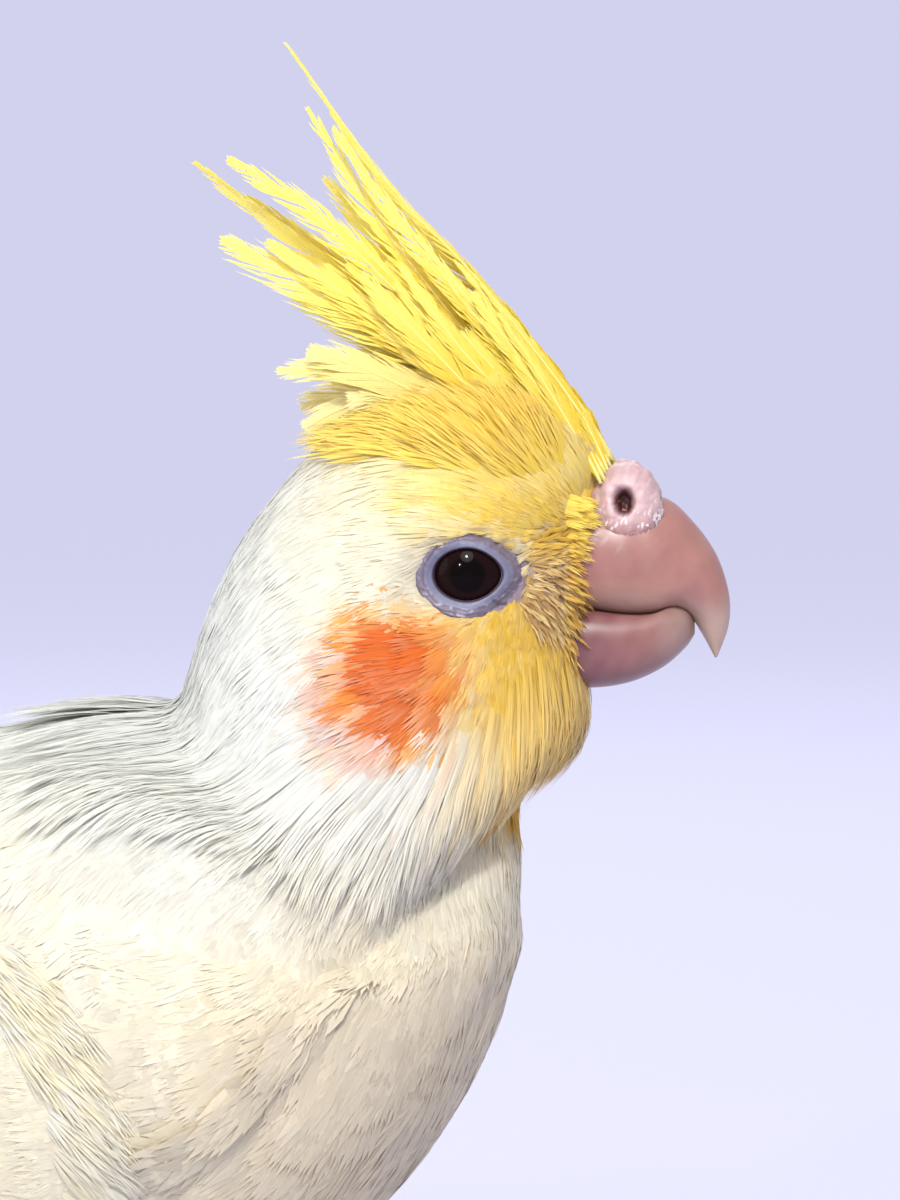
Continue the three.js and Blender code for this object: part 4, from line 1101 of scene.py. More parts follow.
def grow_crest():
    rng = np.random.default_rng(32)
    barbs, stems = [], []
    tones, normals, strands, homes = [], [], [], []
    for row, cut, lean, width, reach in crest_plan():
        guide = curve(curve(CREST_GUIDES, np.array([row]))[0], cut * np.linspace(0, 1, 14))
        s = np.linspace(0, 1, 14)
        foot = mix(4.6, 7.0, row)
        out = lean * (foot * (1 - 0.55 * s * cut) + 0.6 * cut * s)
        sink = -2.0 * lean ** 2 * (1 - s) - 0.3
        bend = rng.normal(0, 0.35) * s ** 2 * min(1, 4 * row)
        path = np.stack([guide[:, 0] + 0.4 * sink + bend, out, guide[:, 1] + sink + 0.8 * bend], -1)
        ahead = unit(np.gradient(path, axis=0))
        width = width * mix(0.55, 1, min(1, 5 * row))
        tilt = lean * 1.0 + rng.normal(0, 0.2) + math.copysign(0.5, lean)
        facing = unit(np.array([0.5, tilt, 0.4]))
        sides = unit(np.cross(np.broadcast_to(facing, path.shape), ahead))
        ups = unit(np.cross(ahead, sides))
        z = path[:, 2]
        line = place_head(path)
        points, faces, share, spread, normal, stem = plume(line, turn_head(sides, z), turn_head(ups, z),
                                                           width, rng)
        barbs.append((points, faces))
        stems.append(stem)
        base = mix(screen(240, 200, 38), screen(242, 216, 76), rng.random()) * rng.uniform(0.8, 0.97)
        fade = smooth(0.6, 1, row)
        base = mix(base, CREAM, 0.6 * fade)
        tip = mix(mix(base, screen(242, 230, 126), 0.75), CREAM, 0.5 * fade)
        tones.append(mix(base, tip, (smooth(0.25, 1, share) * reach)[:, None]))
        normals.append(normal)
        strands.append(np.stack([spread * width + 9 * rng.random(), share * 20], -1))
        homes.append(np.array([0.6 + row * 0.05, 0.99])
                     + np.stack([spread * 0.003, (share - 0.5) * 0.003], -1))
    points, faces = merged(barbs)
    crest = make_mesh("crest_feathers", points, faces, FEATHER, "plumage_yellow", ("crest",))
    paint(crest, np.clip(np.concatenate(tones), 0, 1))
    uv_layer(crest, "Strand", np.concatenate(strands))
    uv_layer(crest, "OFBake", np.concatenate(homes))
    crest.data.normals_split_custom_set_from_vertices(np.concatenate(normals).astype(np.float32))
    points, faces = merged(stems)
    shafts = make_mesh("crest_shafts", points, faces, FEATHER, "plumage_yellow")
    paint(shafts, np.broadcast_to(screen(250, 238, 150), points.shape))
    uv_layer(shafts, "Strand", points[:, :2])
    uv_layer(shafts, "OFBake", 0.6 + points[:, :2] * 0.0001)


grow_crest()


# Wings and tail: flight feathers as fine vanes

def sheet(path, normal, width, rows=26, cols=9, blunt=0.7, split=0.5, camber=0.1, ragged=0.05, *, rng):
    """One vane along a path: points, faces, place across and along it, and its strand map."""
    s = np.linspace(0, 1, rows)
    centre = curve(path, s)
    ahead = unit(np.gradient(centre, axis=0))
    across = unit(np.cross(normal, ahead))
    up = np.cross(ahead, across)
    length = np.linalg.norm(np.diff(centre, axis=0), axis=1).sum()
    full = mix(0.35, 1, smooth(0, 0.3, s))
    close = np.sqrt(np.clip(1 - np.clip((s - blunt) / (1 - blunt), 0, 1) ** 2, 0, 1))
    half = width / 2 * full * close
    c = np.linspace(-1, 1, cols)
    lean = np.where(c < 0, 2 * (1 - split), 2 * split)
    edge = 1 + ragged * rng.normal(0, 1, (rows, 1)) * np.abs(c)[None] ** 3
    x = half[:, None] * (c * lean)[None] * edge
    height = -camber * width * (c ** 2)[None] * full[:, None] + 0.03 * width * (1 - np.abs(c))[None] ** 3
    slant = np.abs(x) * 0.8 * smooth(0.02, 0.2, 1 - s)[:, None]
    points = centre[:, None] + across[:, None] * x[..., None] + up[:, None] * height[..., None]
    points = points + ahead[:, None] * slant[..., None] * 0.35
    strand = np.stack([s[:, None] * length - np.abs(x) * 1.6, np.abs(x) * 0.6 + rng.random() * 40], -1)
    across_share = np.broadcast_to(c, (rows, cols))
    along_share = np.broadcast_to(s[:, None], (rows, cols))
    return points.reshape(-1, 3), grid_faces(rows, cols), across_share.ravel(), along_share.ravel(), strand.reshape(-1, 2)


def feather_piece(name, sheets, material, slot, replaces, tint, home):
    """One piece from many vanes. tint gives a colour from places and shares across and along."""
    points, faces = merged([(p, f) for p, f, _, _, _ in sheets])
    obj = make_mesh(name, points, faces, material, slot, replaces)
    c = np.concatenate([x[2] for x in sheets])
    s = np.concatenate([x[3] for x in sheets])
    paint(obj, tint(points, c, s))
    uv_layer(obj, "Strand", np.concatenate([x[4] for x in sheets]))
    spots = np.concatenate([np.broadcast_to(home(i, len(sheets)), (len(x[0]), 2)) for i,
                            x in enumerate(sheets)])
    uv_layer(obj, "OFBake", spots + np.stack([c * 0.0015, (s - 0.5) * 0.003], -1))


def wing_tint(points, c, s):
    colour = np.broadcast_to(WHITE, points.shape).copy()
    wash = 0.3 + 0.3 * noise(points, 0.12, 9)
    colour = mix(colour, CREAM, np.clip(0.5 + wash, 0, 1)[:, None])
    colour = mix(colour, STRAW, (0.35 * smooth(0.3, 0.9, np.abs(c)) * smooth(0.9, 0.4, s))[:, None])
    shaft = np.exp(-(c / 0.07) ** 2)
    return mix(colour, screen(232, 222, 196), (0.6 * shaft)[:, None])


WING_TIERS = [
    dict(u=(0.54, 0.58), angle=(0.9, 1.8), count=10, length=15, width=7.5, height=3.2, drop=0.08),
    dict(u=(0.5, 0.54), angle=(0.82, 1.84), count=11, length=21, width=8.5, height=3.1, drop=0.06),
    dict(u=(0.47, 0.51), angle=(0.7, 1.86), count=11, length=30, width=9, height=3.0, drop=0.03),
    dict(u=(0.3, 0.34), angle=(0.6, 1.66), count=10, length=47, width=9.5, height=2.4, drop=-0.05),
]
PRIMARY_TIP = np.array([-62, 6, 49.6])
PRIMARY_LONG, PRIMARY_SHORT, PRIMARY_COUNT = 96, 58, 8


def wing_sheets(side):
    rng = np.random.default_rng(50 + side)
    made = []
    for i in range(PRIMARY_COUNT):
        t = i / (PRIMARY_COUNT - 1)
        root = over_torso(0.36 + 0.03 * t, 1.5 + 0.3 * t, 1.2, side)
        tip = PRIMARY_TIP * np.array([1, side, 1]) - np.array([0, 0, 2.2 * t])
        end = mix(root, tip, mix(PRIMARY_SHORT / PRIMARY_LONG, 1, t))
        bow = mix(root, end, 0.5) + np.array([0, side * mix(1.4, 0.4, t), -2.6])
        path = [root, mix(root, bow, 0.52) + np.array([0, side * 0.3, -0.4]), bow,
                mix(bow, end, 0.5) + np.array([0, side * 0.15, -0.5]), end]
        normal = unit(np.array([0.1, side * 0.86, 0.5]))
        made.append(sheet(path, normal, 7.4, rows=40, blunt=0.72, split=0.35, rng=rng, camber=0.08))
    for k, tier in enumerate(reversed(WING_TIERS)):
        for i in range(tier["count"]):
            t = i / (tier["count"] - 1)
            u = mix(*tier["u"], math.sin(t * math.pi)) + rng.normal(0, 0.003)
            angle = mix(*tier["angle"], t)
            swing = tier["drop"] * (t - 0.5) * 2
            root = over_torso(u, angle, 0.9, side)
            above = over_torso(u, angle, 6.0, side)
            lift = tier["height"] + 0.16 * (i % 2) + 0.05 * k

            def reach(share):
                back = u - share * tier["length"] / TORSO_LENGTH
                return over_torso(back, angle + swing * share, lift - 0.7 * share, side) if back > 0 else None

            middle = reach(0.5)
            end = reach(1.0)
            if end is None:
                end = middle + unit(middle - root) * tier["length"] * 0.5
            quarter = mix(root, middle, 0.5) + unit(above - root) * 0.5
            path = [root, quarter, middle, mix(middle, end, 0.5) + unit(above - root) * 0.1, end]
            made.append(sheet(path, unit(above - root), tier["width"] * rng.uniform(0.95, 1.08), rows=22,
                              blunt=0.5, split=0.45, rng=rng, camber=0.09, ragged=0.03))
    return made


TAIL_START = np.array([-14.0, 0, 53])
TAIL_TIP_X, TAIL_TIP_Z = -128.3, 17.0
TAIL_SPREAD, RECTRIX_WIDTH = 6.6, 10.5
TAIL_COVERTS = [
    dict(root=(-20, 54.2), tip=(-58, 43.6), spread=4.8, base=5.0, width=8, count=6, up=1),
    dict(root=(-13, 57.6), tip=(-42, 49.8), spread=4.8, base=5.0, width=8, count=5, up=1),
    dict(root=(-18, 48.8), tip=(-62, 35.6), spread=5.2, base=5.0, width=8, count=7, up=-1),
    dict(root=(-8, 47.5), tip=(-42, 41.2), spread=5.4, base=5.6, width=8, count=6, up=-1),
]


def tail_sheets():
    rng = np.random.default_rng(61)
    made = []
    for i in range(6):
        for side in (1, -1):
            t = i / 5
            reach = mix(1, 0.52, t ** 0.8)
            under = 1.15 * i + (0.55 if side > 0 else 0)
            tip = np.array([mix(TAIL_START[0], TAIL_TIP_X, reach), side * mix(1.1, TAIL_SPREAD, t),
                            mix(TAIL_START[2], TAIL_TIP_Z, reach) - under])
            root = np.array([TAIL_START[0] - 8, side * mix(0.8, 4.6, t), TAIL_START[2] - 2.6 - under * 0.4])
            bow = mix(root, tip, 0.5) + np.array([0, side * mix(1.2, 2.2, t), -0.6])
            path = [root, mix(root, bow, 0.5) + np.array([0, side * 0.3, -0.2]), bow,
                    mix(bow, tip, 0.5) + np.array([0, side * 0.4, -0.1]), tip]
            normal = unit(np.array([0.28, side * 0.12, 1]))
            made.append(sheet(path, normal, RECTRIX_WIDTH * mix(0.78, 1, t) * 0.96, rows=46,
                              blunt=0.35 if i == 0 else 0.6, split=0.5 - 0.12 * side * (i > 0), rng=rng,
                              camber=0.05))
    for cover in TAIL_COVERTS:
        for i in range(cover["count"]):
            t = 2 * i / (cover["count"] - 1) - 1
            short = 1 - 0.15 * abs(t)
            root = np.array([cover["root"][0], t * cover["base"],
                             cover["root"][1] - cover["up"] * 0.8 * abs(t)])
            middle = np.array([mix(cover["root"][0], cover["tip"][0], 0.5), t * cover["spread"],
                               mix(cover["root"][1], cover["tip"][1], 0.46) - cover["up"] * abs(t)])
            end = np.array([mix(cover["root"][0], cover["tip"][0], short), t * cover["spread"] * 0.9,
                            mix(cover["root"][1], cover["tip"][1], short) - cover["up"] * 1.4 * abs(t)])
            path = [root, mix(root, middle, 0.5) + np.array([0, 0, 0.3 * cover["up"]]), middle,
                    mix(middle, end, 0.5), end]
            made.append(sheet(path, unit(np.array([0.25, t * 0.35, cover["up"]])), cover["width"], rows=22,
                              blunt=0.55, rng=rng, camber=0.1))
    return made


VANE = plumage_material("feather_vane", streak=0.1, bump=0.35, sheen=0.15, roughness=0.6,
                        strand_scale=(3.2, 0.25, 1))
for word, way in SIDES.items():
    column = 0.3 if way > 0 else 0.7
    feather_piece("wing_feathers_" + word, wing_sheets(way), VANE, "plumage_white", ("wing_" + word,),
                  wing_tint,
                  lambda i, n, column=column: np.array([column + 0.1 * (i / n - 0.5), 0.1 + 0.4 * (i / n)]))
feather_piece("tail_feathers", tail_sheets(), VANE, "plumage_white", ("tail",), wing_tint,
              lambda i, n: np.array([0.5 + 0.3 * (i / n - 0.5), 0.005]))


# Eyes, lids, bill and cere

def bare_material(name, roughness, noise_scale, bump, depth, subsurface=0.0, coat=0.0, specular=0.5):
    """Bare skin or horn: colour from the mesh, mottled, with a fine grain."""
    material, tree, shader = new_material(name)
    link = tree.links.new
    colour = node(tree, "ShaderNodeVertexColor", layer_name="Plumage")
    place = node(tree, "ShaderNodeTexCoord")
    grain = node(tree, "ShaderNodeTexNoise", in_Scale=noise_scale, in_Detail=4.0, in_Roughness=0.6)
    link(place.outputs["Object"], grain.inputs["Vector"])
    grained(tree, shader, colour, grain, 0.9, 1.07)
    relief(tree, shader, grain, bump, depth)
    shader.inputs["Roughness"].default_value = roughness
    shader.inputs["Subsurface Weight"].default_value = subsurface
    shader.inputs["Subsurface Radius"].default_value = (1.0, 0.4, 0.3)
    shader.inputs["Subsurface Scale"].default_value = 0.0008
    shader.inputs["Coat Weight"].default_value = coat
    shader.inputs["Coat Roughness"].default_value = 0.2
    shader.inputs["Specular IOR Level"].default_value = specular
    return material


HORN = bare_material("horn", 0.42, 420.0, 0.25, 0.0001, subsurface=0.25, coat=0.15)
CERE_SKIN = bare_material("cere_skin", 0.5, 900.0, 0.6, 0.00015, subsurface=0.3)
LID_SKIN = bare_material("lid_skin", 0.5, 1600.0, 0.5, 0.0001, subsurface=0.1)
SCALE_SKIN = bare_material("scale_skin", 0.55, 700.0, 0.4, 0.0001, subsurface=0.1)
EYE = bare_material("eye_dark", 0.08, 300.0, 0.0, 0.0001, specular=0.06)

RING_SKIN = screen(104, 94, 108)
RING_EDGE = screen(106, 106, 128)
RING_DARK = screen(58, 46, 60)
RING_PALE = screen(168, 162, 172)


def skin_side(x, z, side):
    """How far out the skin lies beside the head's middle plane, at a place in that plane."""
    out = np.empty(len(x))
    for i, (a, b) in enumerate(zip(x, z)):
        start = place_head(np.array([a, side * 22.0, b]))
        way = turn_head(np.array([0.0, -side, 0.0]), np.array(b))
        hit = SKIN_TREE.ray_cast(Vector(start), Vector(way), 20)
        out[i] = 22.0 - hit[3] if hit[0] is not None else 9.0
    return out


def ball_depth(xz):
    """How far out the eyeball's surface lies, at a place in the head's plane."""
    return EYEBALL_SIDE + np.sqrt(np.maximum(EYEBALL_RADIUS ** 2 - (xz ** 2).sum(-1), 1))


def build_eye(word, side):
    count = 72
    polar = np.linspace(0, np.pi, 40)
    angle = 2 * np.pi * np.arange(count) / count
    radius = EYEBALL_RADIUS - 0.06
    spread = np.sin(polar)[:, None]
    ball = np.stack([radius * spread * np.cos(angle), side * (EYEBALL_SIDE + radius * np.cos(polar))[:, None]
                     * np.ones(count), radius * spread * np.sin(angle)], -1)
    points, faces = loft(place_head(ball))
    eye = make_mesh("eyeball_" + word, points, faces, EYE, "eye", ("eye_" + word,))
    h = head_place(points)
    r = np.hypot(h[:, 0], h[:, 2])
    iris = smooth(1.25, 1.5, r) * smooth(3.0, 2.5, r)
    ripple = 0.5 + 0.5 * np.sin(np.arctan2(h[:, 2], h[:, 0]) * 40 + 3 * noise(h, 1.2, 5))
    colour = mix(np.array([0.002, 0.001, 0.001]), np.array([0.010, 0.003, 0.003]),
                 (iris * (0.6 + 0.4 * ripple))[:, None])
    paint(eye, colour)

    count = 144
    angle = 2 * np.pi * np.arange(count) / count
    c, s = np.cos(angle), np.sin(angle)
    front = np.maximum(0, c)
    outer = np.stack([0.15 + 4.45 * c + 0.35 * front ** 6, 3.5 * s * (1 - 0.3 * front ** 2) - 0.05], -1)
    inner = np.stack([0.02 + 2.72 * c + 0.1 * front ** 4, 2.14 * s * (1 - 0.14 * front ** 2)], -1)
    out_depth = skin_side(outer[:, 0], outer[:, 1], side) - 0.1
    edge_depth = ball_depth(inner)
    rings_made, tones = [], []
    shares = np.concatenate([[-0.06, -0.03], np.linspace(0, 1, 26), [1.08]])
    for t in shares:
        xz = mix(inner, outer, max(t, -0.1))
        k = np.clip(t, 0, 1)
        around = np.stack([c * 2, s * 2, np.full(count, t * 2.0)], -1)
        fold = np.sin(2 * np.pi * (3.6 * k + 0.35 * noise(around, 0.9, 6)))
        pucker = noise(np.stack([c * 9, s * 9, np.full(count, k * 7)], -1), 0.8, 7)
        depth = mix(edge_depth + 0.3, out_depth, smooth(0, 1, k))
        depth = depth + 0.24 * np.sin(np.pi * k) ** 0.7 + (0.03 * fold + 0.07 * pucker) * smooth(0.2, 0.5, k)
        if t < 0:
            depth = ball_depth(xz) + 0.02 + 2.0 * (t + 0.06)
        if t > 1:
            depth = out_depth - 0.7
        rings_made.append(np.stack([xz[:, 0], side * depth, xz[:, 1]], -1))
        tone = mix(RING_DARK, RING_EDGE, smooth(0.0, 0.12, k))
        tone = mix(tone, RING_SKIN, smooth(0.3, 0.5, k))
        tone = np.broadcast_to(tone, (count, 3)) * (1 + 0.06 * fold[:, None] + 0.1 * pucker[:, None])
        lower = smooth(0.2, -0.5, s)
        speck = (smooth(0.15, 0.7, pucker) * smooth(0.3, 0.5, k) * (0.25 + 0.75 * lower))[:, None]
        tone = mix(tone, RING_PALE, 0.75 * speck)
        rim = smooth(0.72, 0.95, k) * smooth(0.5, -0.1, c)
        tone = mix(tone, RING_DARK, (0.85 * rim)[:, None])
        tones.append(mix(tone, LORES * 0.9, 0.5 * smooth(0.75, 1, k) * smooth(0.3, 0.9, c)[:, None]))
    ring = np.stack(rings_made)
    n = len(shares)
    i, j = np.meshgrid(np.arange(n - 1), np.arange(count), indexing="ij")
    k = (j + 1) % count
    faces = np.stack([i * count + j, i * count + k, (i + 1) * count + k, (i + 1) * count + j], -1).reshape(-1,
                                                                                                           4)
    if side > 0:
        faces = faces[:, ::-1]
    lid = make_mesh("lid_ring_" + word, place_head(ring).reshape(-1, 3), faces, LID_SKIN, "eyelid",
                    ("eyelids_" + word,))
    paint(lid, np.clip(np.concatenate(tones), 0, 1))


def horn_piece(name, first, second, widths, square, egg, material, slot, replaces, tone, stations=80,
               count=64):
    ring = rings(first, second, widths, np.linspace(0, 1, stations), count, square, egg)
    points, faces = loft(ring)
    growth = noise(points, 0.9, 11) * 0.03 + 0.02 * np.sin(points[:, 0] * 2.6 + 1.3 * noise(points, 0.3, 12))
    middle = np.array([0, 1.0, 0]) * np.sign(points[:, 1:2])
    points = points + middle * growth[:, None] * smooth(0.3, 1.2, np.abs(points[:, 1]))[:, None]
    obj = make_mesh(name, place_head(points), faces, material, slot, replaces)
    paint(obj, np.clip(tone(points), 0, 1))
    return points, faces


def upper_tone(p):
    x, z = p[:, 0], p[:, 2]
    colour = np.broadcast_to(screen(212, 142, 132), p.shape).copy()
    mottled = noise(p, 0.45, 13)
    colour = over(colour, screen(222, 160, 144), 0.4 + 0.4 * mottled)
    colour = over(colour, screen(196, 126, 128), smooth(13, 8, x) * 0.6)
    colour = over(colour, screen(236, 190, 172), smooth(-0.6, -2.6, z) * smooth(19, 12, x))
    colour = over(colour, screen(244, 208, 188), smooth(-1.5, -5, z) * smooth(16, 18.5, x) * 0.9)
    colour = over(colour, screen(238, 170, 140), 0.5 * np.exp(-((z + 1.4) / 0.8) ** 2) * smooth(19, 15, x))
    flake = smooth(0.35, 0.8, noise(p, 2.4, 14)) * smooth(17, 13, x) * smooth(-1, 2.5, z)
    colour = over(colour, screen(236, 214, 206), 0.5 * flake)
    return colour * 0.44


def lower_tone(p):
    x, z = p[:, 0], p[:, 2]
    colour = mix(screen(176, 104, 112), screen(214, 148, 140), smooth(8, 16, x)[:, None])
    colour = mix(colour, screen(240, 206, 190), (0.6 * smooth(14, 17.5, x) + 0.15 * noise(p, 0.6, 15))[:,
                                                                                                       None])
    return mix(colour, screen(206, 140, 150), (0.5 * smooth(-6, -9, z))[:, None]) * 0.34


def build_bill():
    upper = horn_piece("upper_bill", RIDGE_LINE, CUTTING_LINE, UPPER_WIDTHS, 2.3, 0.1, HORN, "bill",
                       ("bill_upper",), upper_tone)
    lower = rings(LOWER_RIM, LOWER_KEEL, LOWER_WIDTHS, np.linspace(0, 1, 60), 56, 2.5)
    cutting = curve(CUTTING_LINE, np.linspace(0, 1, 400))
    roof = np.interp(lower[..., 0], cutting[:, 0], cutting[:, 1])
    lower[..., 2] = np.minimum(lower[..., 2], roof + 0.25)
    points, faces = loft(lower)
    obj = make_mesh("lower_bill", place_head(points), faces, HORN, "bill", ("bill_lower",))
    paint(obj, np.clip(lower_tone(points), 0, 1))
    return upper


CERE_LOBES = [((12.9, 2.9, 5), (3, 2.6, 3.6)), ((12.9, -2.9, 5), (3, 2.6, 3.6)),
              ((12.5, 0, 4.9), (3.2, 3.2, 3.2))]
NOSTRIL = np.array([12.6, 5.2, 5.5])
NOSTRIL_SIZE = np.array([1.2, 1.6, 1.45])


def ellipsoid(centre, radii, rows=28, count=36):
    polar = np.linspace(0.02, np.pi - 0.02, rows)[:, None]
    angle = (2 * np.pi * np.arange(count) / count)[None]
    p = np.stack([np.sin(polar) * np.cos(angle), np.sin(polar) * np.sin(angle),
                  np.cos(polar) * np.ones_like(angle)], -1)
    return loft(p * np.array(radii) + np.array(centre))


def build_cere():
    points, quads = remeshed([ellipsoid(*lobe) for lobe in CERE_LOBES], 0.14, 9)
    normal = vertex_normals(points, quads)
    hole = np.zeros(len(points))
    rim = np.zeros(len(points))
    for side in SIDES.values():
        d = (points - NOSTRIL * np.array([1, side, 1])) / NOSTRIL_SIZE
        r = np.hypot(d[:, 0], d[:, 2]) + np.where(d[:, 1] * side < -1.2, 9, 0)
        hole = np.maximum(hole, smooth(0.95, 0.7, r))
        rim = np.maximum(rim, smooth(1.7, 1.1, r) * smooth(0.8, 1.0, r))
    grain = 0.12 * noise(points, 0.9, 21) + 0.05 * noise(points, 2.6, 24)
    flat = 0.55 * smooth(2.2, 0.0, np.hypot(points[:, 0] - 12.9, points[:, 2] - 5) - 0.6)
    points = points + normal * (0.12 * rim + grain - flat - 1.5 * hole)[:, None]
    points[:, 1] *= 1 - 0.06 * smooth(3.6, 1.4, points[:, 2])
    colour = np.broadcast_to(screen(220, 190, 190), points.shape).copy()
    mottled = noise(points, 1.2, 22)
    colour = mix(colour, screen(200, 154, 156), np.clip(0.3 + 0.4 * mottled, 0, 1)[:, None])
    colour = mix(colour * 0.68, upper_tone(points), smooth(4.8, 2.0, points[:, 2] + 0.4 * mottled)[:, None])
    colour = mix(colour, screen(245, 236, 236), (0.8 * smooth(0.2, 0.7, noise(points, 2.6, 23))
                                                 * smooth(6.5, 3.4, points[:, 2]))[:, None])
    colour = mix(colour, screen(226, 200, 198), (0.2 * rim)[:, None])
    # painted shade: the nostril pits are painted dark red, and near black toward their middle
    colour = mix(colour, screen(96, 40, 44), smooth(0.1, 0.5, hole)[:, None])
    colour = mix(colour, screen(62, 24, 24), smooth(0.5, 0.95, hole)[:, None])
    cere = make_mesh("cere_lobes", place_head(points), quads, CERE_SKIN, "cere", ("cere",))
    paint(cere, np.clip(colour, 0, 1))
    return points, quads


FLAKE_EDGE_X, FLAKE_EDGE_Z = [10.6, 12, 14.9, 15.9], [0.2, 0.6, 2.6, 5.2]


def build_flakes(carriers):
    """Thin loose scales of horn along the edge where the cere meets the bill."""
    rng = np.random.default_rng(90)
    points, faces = merged(carriers)
    tree = BVHTree.FromPolygons(points.tolist(), [list(map(int, f)) for g in faces for f in g])
    sheets, tones = [], []
    for _ in range(420):
        side = int(rng.choice([-1, 1]))
        x = rng.uniform(10.6, 16.3)
        z = np.interp(x, FLAKE_EDGE_X, FLAKE_EDGE_Z) + rng.normal(0, 0.5)
        hit = tree.ray_cast(Vector((x, side * 20, z)), Vector((0, -side, 0)), 30)
        if hit[0] is None:
            continue
        centre, out = np.array(hit[0]), np.array(hit[1])
        first = unit(np.cross(out, [0.3, 0.2, 1]))
        second = np.cross(out, first)
        count = 7
        angle = 2 * np.pi * np.arange(count) / count + rng.random()
        radius = rng.uniform(0.1, 0.42) * rng.uniform(0.5, 1.1, count)
        rise = 0.03 + 0.12 * rng.random() * smooth(-0.2, 1, np.cos(angle))
        ring = (centre + first * (np.cos(angle) * radius)[:, None] + second
                * (np.sin(angle) * radius * 0.6)[:, None]
                + out * rise[:, None])
        fan = np.stack([np.full(count, count), np.arange(count), (np.arange(count) + 1) % count], -1)
        sheets.append((np.concatenate([ring, (centre + out * 0.07)[None]]), fan))
        tones.append(np.broadcast_to(screen(236, 222, 220), (count + 1, 3)) * rng.uniform(0.8, 1.1))
    points, faces = merged(sheets)
    flakes = make_mesh("bill_flakes", place_head(points), faces, CERE_SKIN, "cere", ())
    paint(flakes, np.clip(np.concatenate(tones), 0, 1))


for word, way in SIDES.items():
    build_eye(word, way)
build_flakes([build_bill(), build_cere()])


# Feet: scaly toes with fleshy pads, and curved claws

TOES = [(20, 13.5, 1.0), (-14, 18.0, 1.0), (158, 9.5, 0.85), (-152, 14.5, 0.95)]
FOOT_PINK = screen(222, 176, 168)
FOOT_DARK = screen(190, 138, 134)


def scaly_tube(path, radii, count, scutes):
    """A limb with ring after ring of scutes over its top, as points, faces and colours."""
    steps = len(radii)
    ring = tube(path, radii, count)
    centre = ring.mean(1, keepdims=True)
    s = np.linspace(0, 1, steps)
    top = smooth(-0.2, 0.6, (unit(ring - centre))[..., 2])
    wave = np.abs(np.sin(np.pi * scutes * s))[:, None] ** 0.5
    ring = centre + (ring - centre) * (1 + 0.09 * (wave - 0.6) * (0.35 + 0.65 * top))[..., None]
    points, faces = loft(ring)
    tone = np.concatenate([wave.repeat(count, 1).ravel(), [1, 1]])
    points[:, 2] = np.maximum(points[:, 2], 0.02)
    return points, faces, mix(FOOT_DARK, FOOT_PINK, tone[:, None])


def build_foot(word, side):
    flip = np.array([1, side, 1])
    root = np.array([FOOT_X, side * FOOT_SIDE, TOE_AXIS_HEIGHT + 0.15])
    ankle = ANKLE * flip
    below = mix(ankle, root, -0.25)
    shank = scaly_tube([below, mix(below, root, 0.5) + np.array([0.5, 0, 0]), root],
                       curve([1.2, 1.05, 0.95, 1.0, 1.35], np.linspace(0, 1, 90)) * 2.05, 28, 13)
    limbs, claws = [shank], []
    for heading, length, claw in TOES:
        a = math.radians(heading) * side
        ahead = np.array([math.cos(a), math.sin(a), 0])
        end = root + ahead * length
        end[2] = TOE_AXIS_HEIGHT
        knuckle = mix(root, end, 0.5)
        knuckle[2] = TOE_AXIS_HEIGHT
        radii = curve([1.05, 1.06, 0.9, 1.02, 0.86, 0.66], np.linspace(0, 1, 80)) * TOE_RADIUS
        limbs.append(scaly_tube([root, knuckle, end], radii, 26, round(length * 0.8)))
        reach = CLAW_LENGTH * claw
        start = end - ahead * 0.5
        start[2] = TOE_AXIS_HEIGHT + 0.1
        bow = start + ahead * reach * 0.6
        bow[2] = TOE_AXIS_HEIGHT + 0.8
        tip = start + ahead * (reach + 0.4)
        tip[2] = 0.5
        claws.append(loft(tube([start, bow, tip], curve([0.95, 0.92, 0.66, 0.12], np.linspace(0, 1, 30)),
                               20)))
    points, faces = merged([(p, f) for p, f, _ in limbs])
    foot = make_mesh("scaly_foot_" + word, points, faces, SCALE_SKIN, "foot_skin", ("foot_" + word,))
    paint(foot, np.concatenate([c for _, _, c in limbs]))
    points, faces = merged(claws)
    nails = make_mesh("claws_" + word, points, faces, HORN, "claw",
                      tuple(f"claw_{word}_{i + 1}" for i in range(4)))
    tone = mix(screen(206, 176, 168), screen(120, 96, 92),
               smooth(0.2, 0.9, noise(points, 0.5, 33))[:, None] * 0.5)
    paint(nails, tone)


for word, way in SIDES.items():
    build_foot(word, way)


# Floor, light and camera

VIEW_AZIMUTH, VIEW_ELEVATION, VIEW_DISTANCE = math.radians(18), math.radians(4), 0.36
VIEW_AIM, VIEW_SHIFT = [0, -10.2, 0.0], (-1.35, -2.06)
PICTURE_HEIGHT, SENSOR_WIDTH = 0.0952, 36
STAGE_RUN = [-4.4, -2.4, 0.0, 1.1, 1.7, 2.04, 2.2, 2.24, 2.24]
STAGE_RISE = [0.0, 0.0, 0.0, 0.0, 0.12, 0.44, 1.0, 2.4, 5.2]
STAGE_HALF_WIDTH, STAGE_STEPS, STAGE_COLUMNS = 4.8, 60, 12
STAGE_TONE, STAGE_GLOW = (0.28, 0.28, 0.36, 1), (0.4, 0.4, 0.51, 1)


def stage_material():
    material, tree, shader = new_material("pale_studio")
    shader.inputs["Base Color"].default_value = STAGE_TONE
    shader.inputs["Emission Color"].default_value = STAGE_GLOW
    shader.inputs["Emission Strength"].default_value = 1
    shader.inputs["Roughness"].default_value = 0.9
    return material


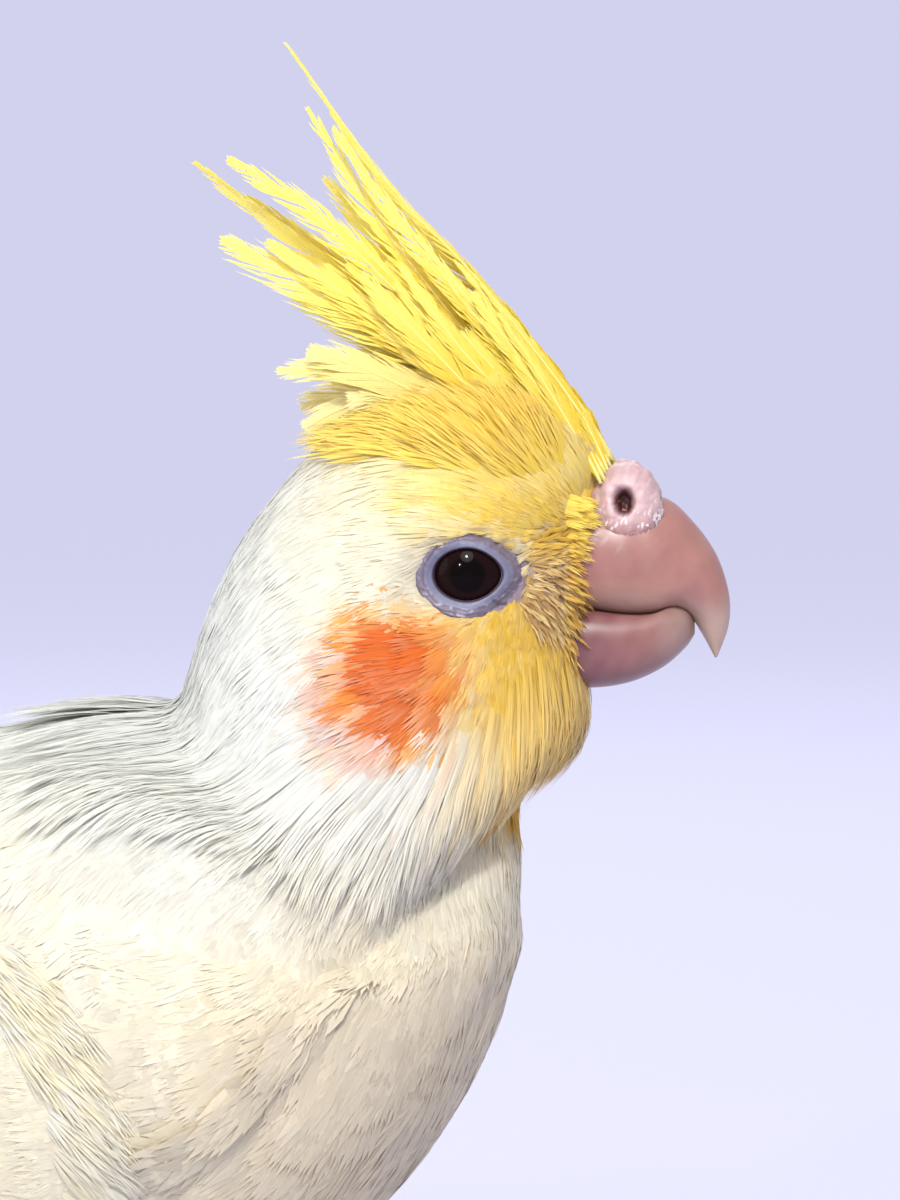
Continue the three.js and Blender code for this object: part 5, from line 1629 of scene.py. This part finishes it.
def build_stage():
    a = np.linspace(0, 1, STAGE_STEPS)
    depth, height = curve(STAGE_RUN, a), np.maximum(curve(STAGE_RISE, a), 0)
    turn = VIEW_AZIMUTH
    along, into = np.array([math.cos(turn), math.sin(turn), 0]), np.array([-math.sin(turn), math.cos(turn),
                                                                           0])
    wide = np.linspace(-STAGE_HALF_WIDTH, STAGE_HALF_WIDTH, STAGE_COLUMNS)
    points = (wide[None, :, None] * along + depth[:, None, None] * into
              + height[:, None, None] * np.array([0, 0, 1.0]))
    points = points.reshape(-1, 3) / MM
    floor = make_mesh("studio_floor", points, grid_faces(STAGE_STEPS, STAGE_COLUMNS), stage_material())


def area_light(name, place, aim, size, power, colour):
    data = bpy.data.lights.new(name, "AREA")
    data.shape = "DISK"
    data.size = size
    data.energy = power
    data.color = colour
    lamp = bpy.data.objects.new(name, data)
    lamp.location = place
    lamp.rotation_euler = (Vector(aim) - Vector(place)).to_track_quat("-Z", "Y").to_euler()
    bpy.context.scene.collection.objects.link(lamp)


def build_camera():
    eye = place_head(VIEW_AIM) * MM
    a, e = VIEW_AZIMUTH, VIEW_ELEVATION
    back = np.array([math.sin(a) * math.cos(e), -math.cos(a) * math.cos(e), math.sin(e)])
    right = np.array([math.cos(a), math.sin(a), 0])
    up = np.cross(back, right)
    middle = eye + right * VIEW_SHIFT[0] * MM + up * VIEW_SHIFT[1] * MM
    data = bpy.data.cameras.new("camera")
    data.sensor_width = SENSOR_WIDTH
    data.lens = SENSOR_WIDTH * VIEW_DISTANCE / PICTURE_HEIGHT
    data.clip_start = 0.01
    camera = bpy.data.objects.new("camera", data)
    camera.location = middle + back * VIEW_DISTANCE
    camera.rotation_euler = Vector(-back).to_track_quat("-Z", "Y").to_euler()
    bpy.context.scene.collection.objects.link(camera)
    bpy.context.scene.camera = camera


LIGHTS = [  # name, place, aim, size, power, colour
    ("key", (0.35, -0.75, 0.75), (0.08, 0, 0.09), 0.5, 5.0, (1, 0.98, 0.95)),
    ("fill", (-0.6, -0.6, 0.35), (0.05, 0, 0.08), 0.7, 2.2, (0.95, 0.97, 1)),
    ("spark_high", (0.3, -0.62, 0.62), (0.09, 0, 0.096), 0.05, 4.0, (1, 1, 1)),
    ("spark_low", (0.12, -0.8, 0.38), (0.09, 0, 0.096), 0.04, 1.6, (1, 1, 1)),
    ("rim", (-0.2, 0.7, 0.7), (0.08, 0, 0.1), 0.5, 3.2, (1, 1, 1)),
]
SKY_COLOUR, SKY_STRENGTH = (0.93, 0.94, 1.0, 1), 0.76


def build_light():
    world = bpy.data.worlds.new("studio")
    world.use_nodes = True
    world.node_tree.nodes["Background"].inputs["Color"].default_value = SKY_COLOUR
    world.node_tree.nodes["Background"].inputs["Strength"].default_value = SKY_STRENGTH
    bpy.context.scene.world = world
    for lamp in LIGHTS:
        area_light(*lamp)
    bpy.context.scene.view_settings.view_transform = "Standard"


build_stage()
build_light()
build_camera()
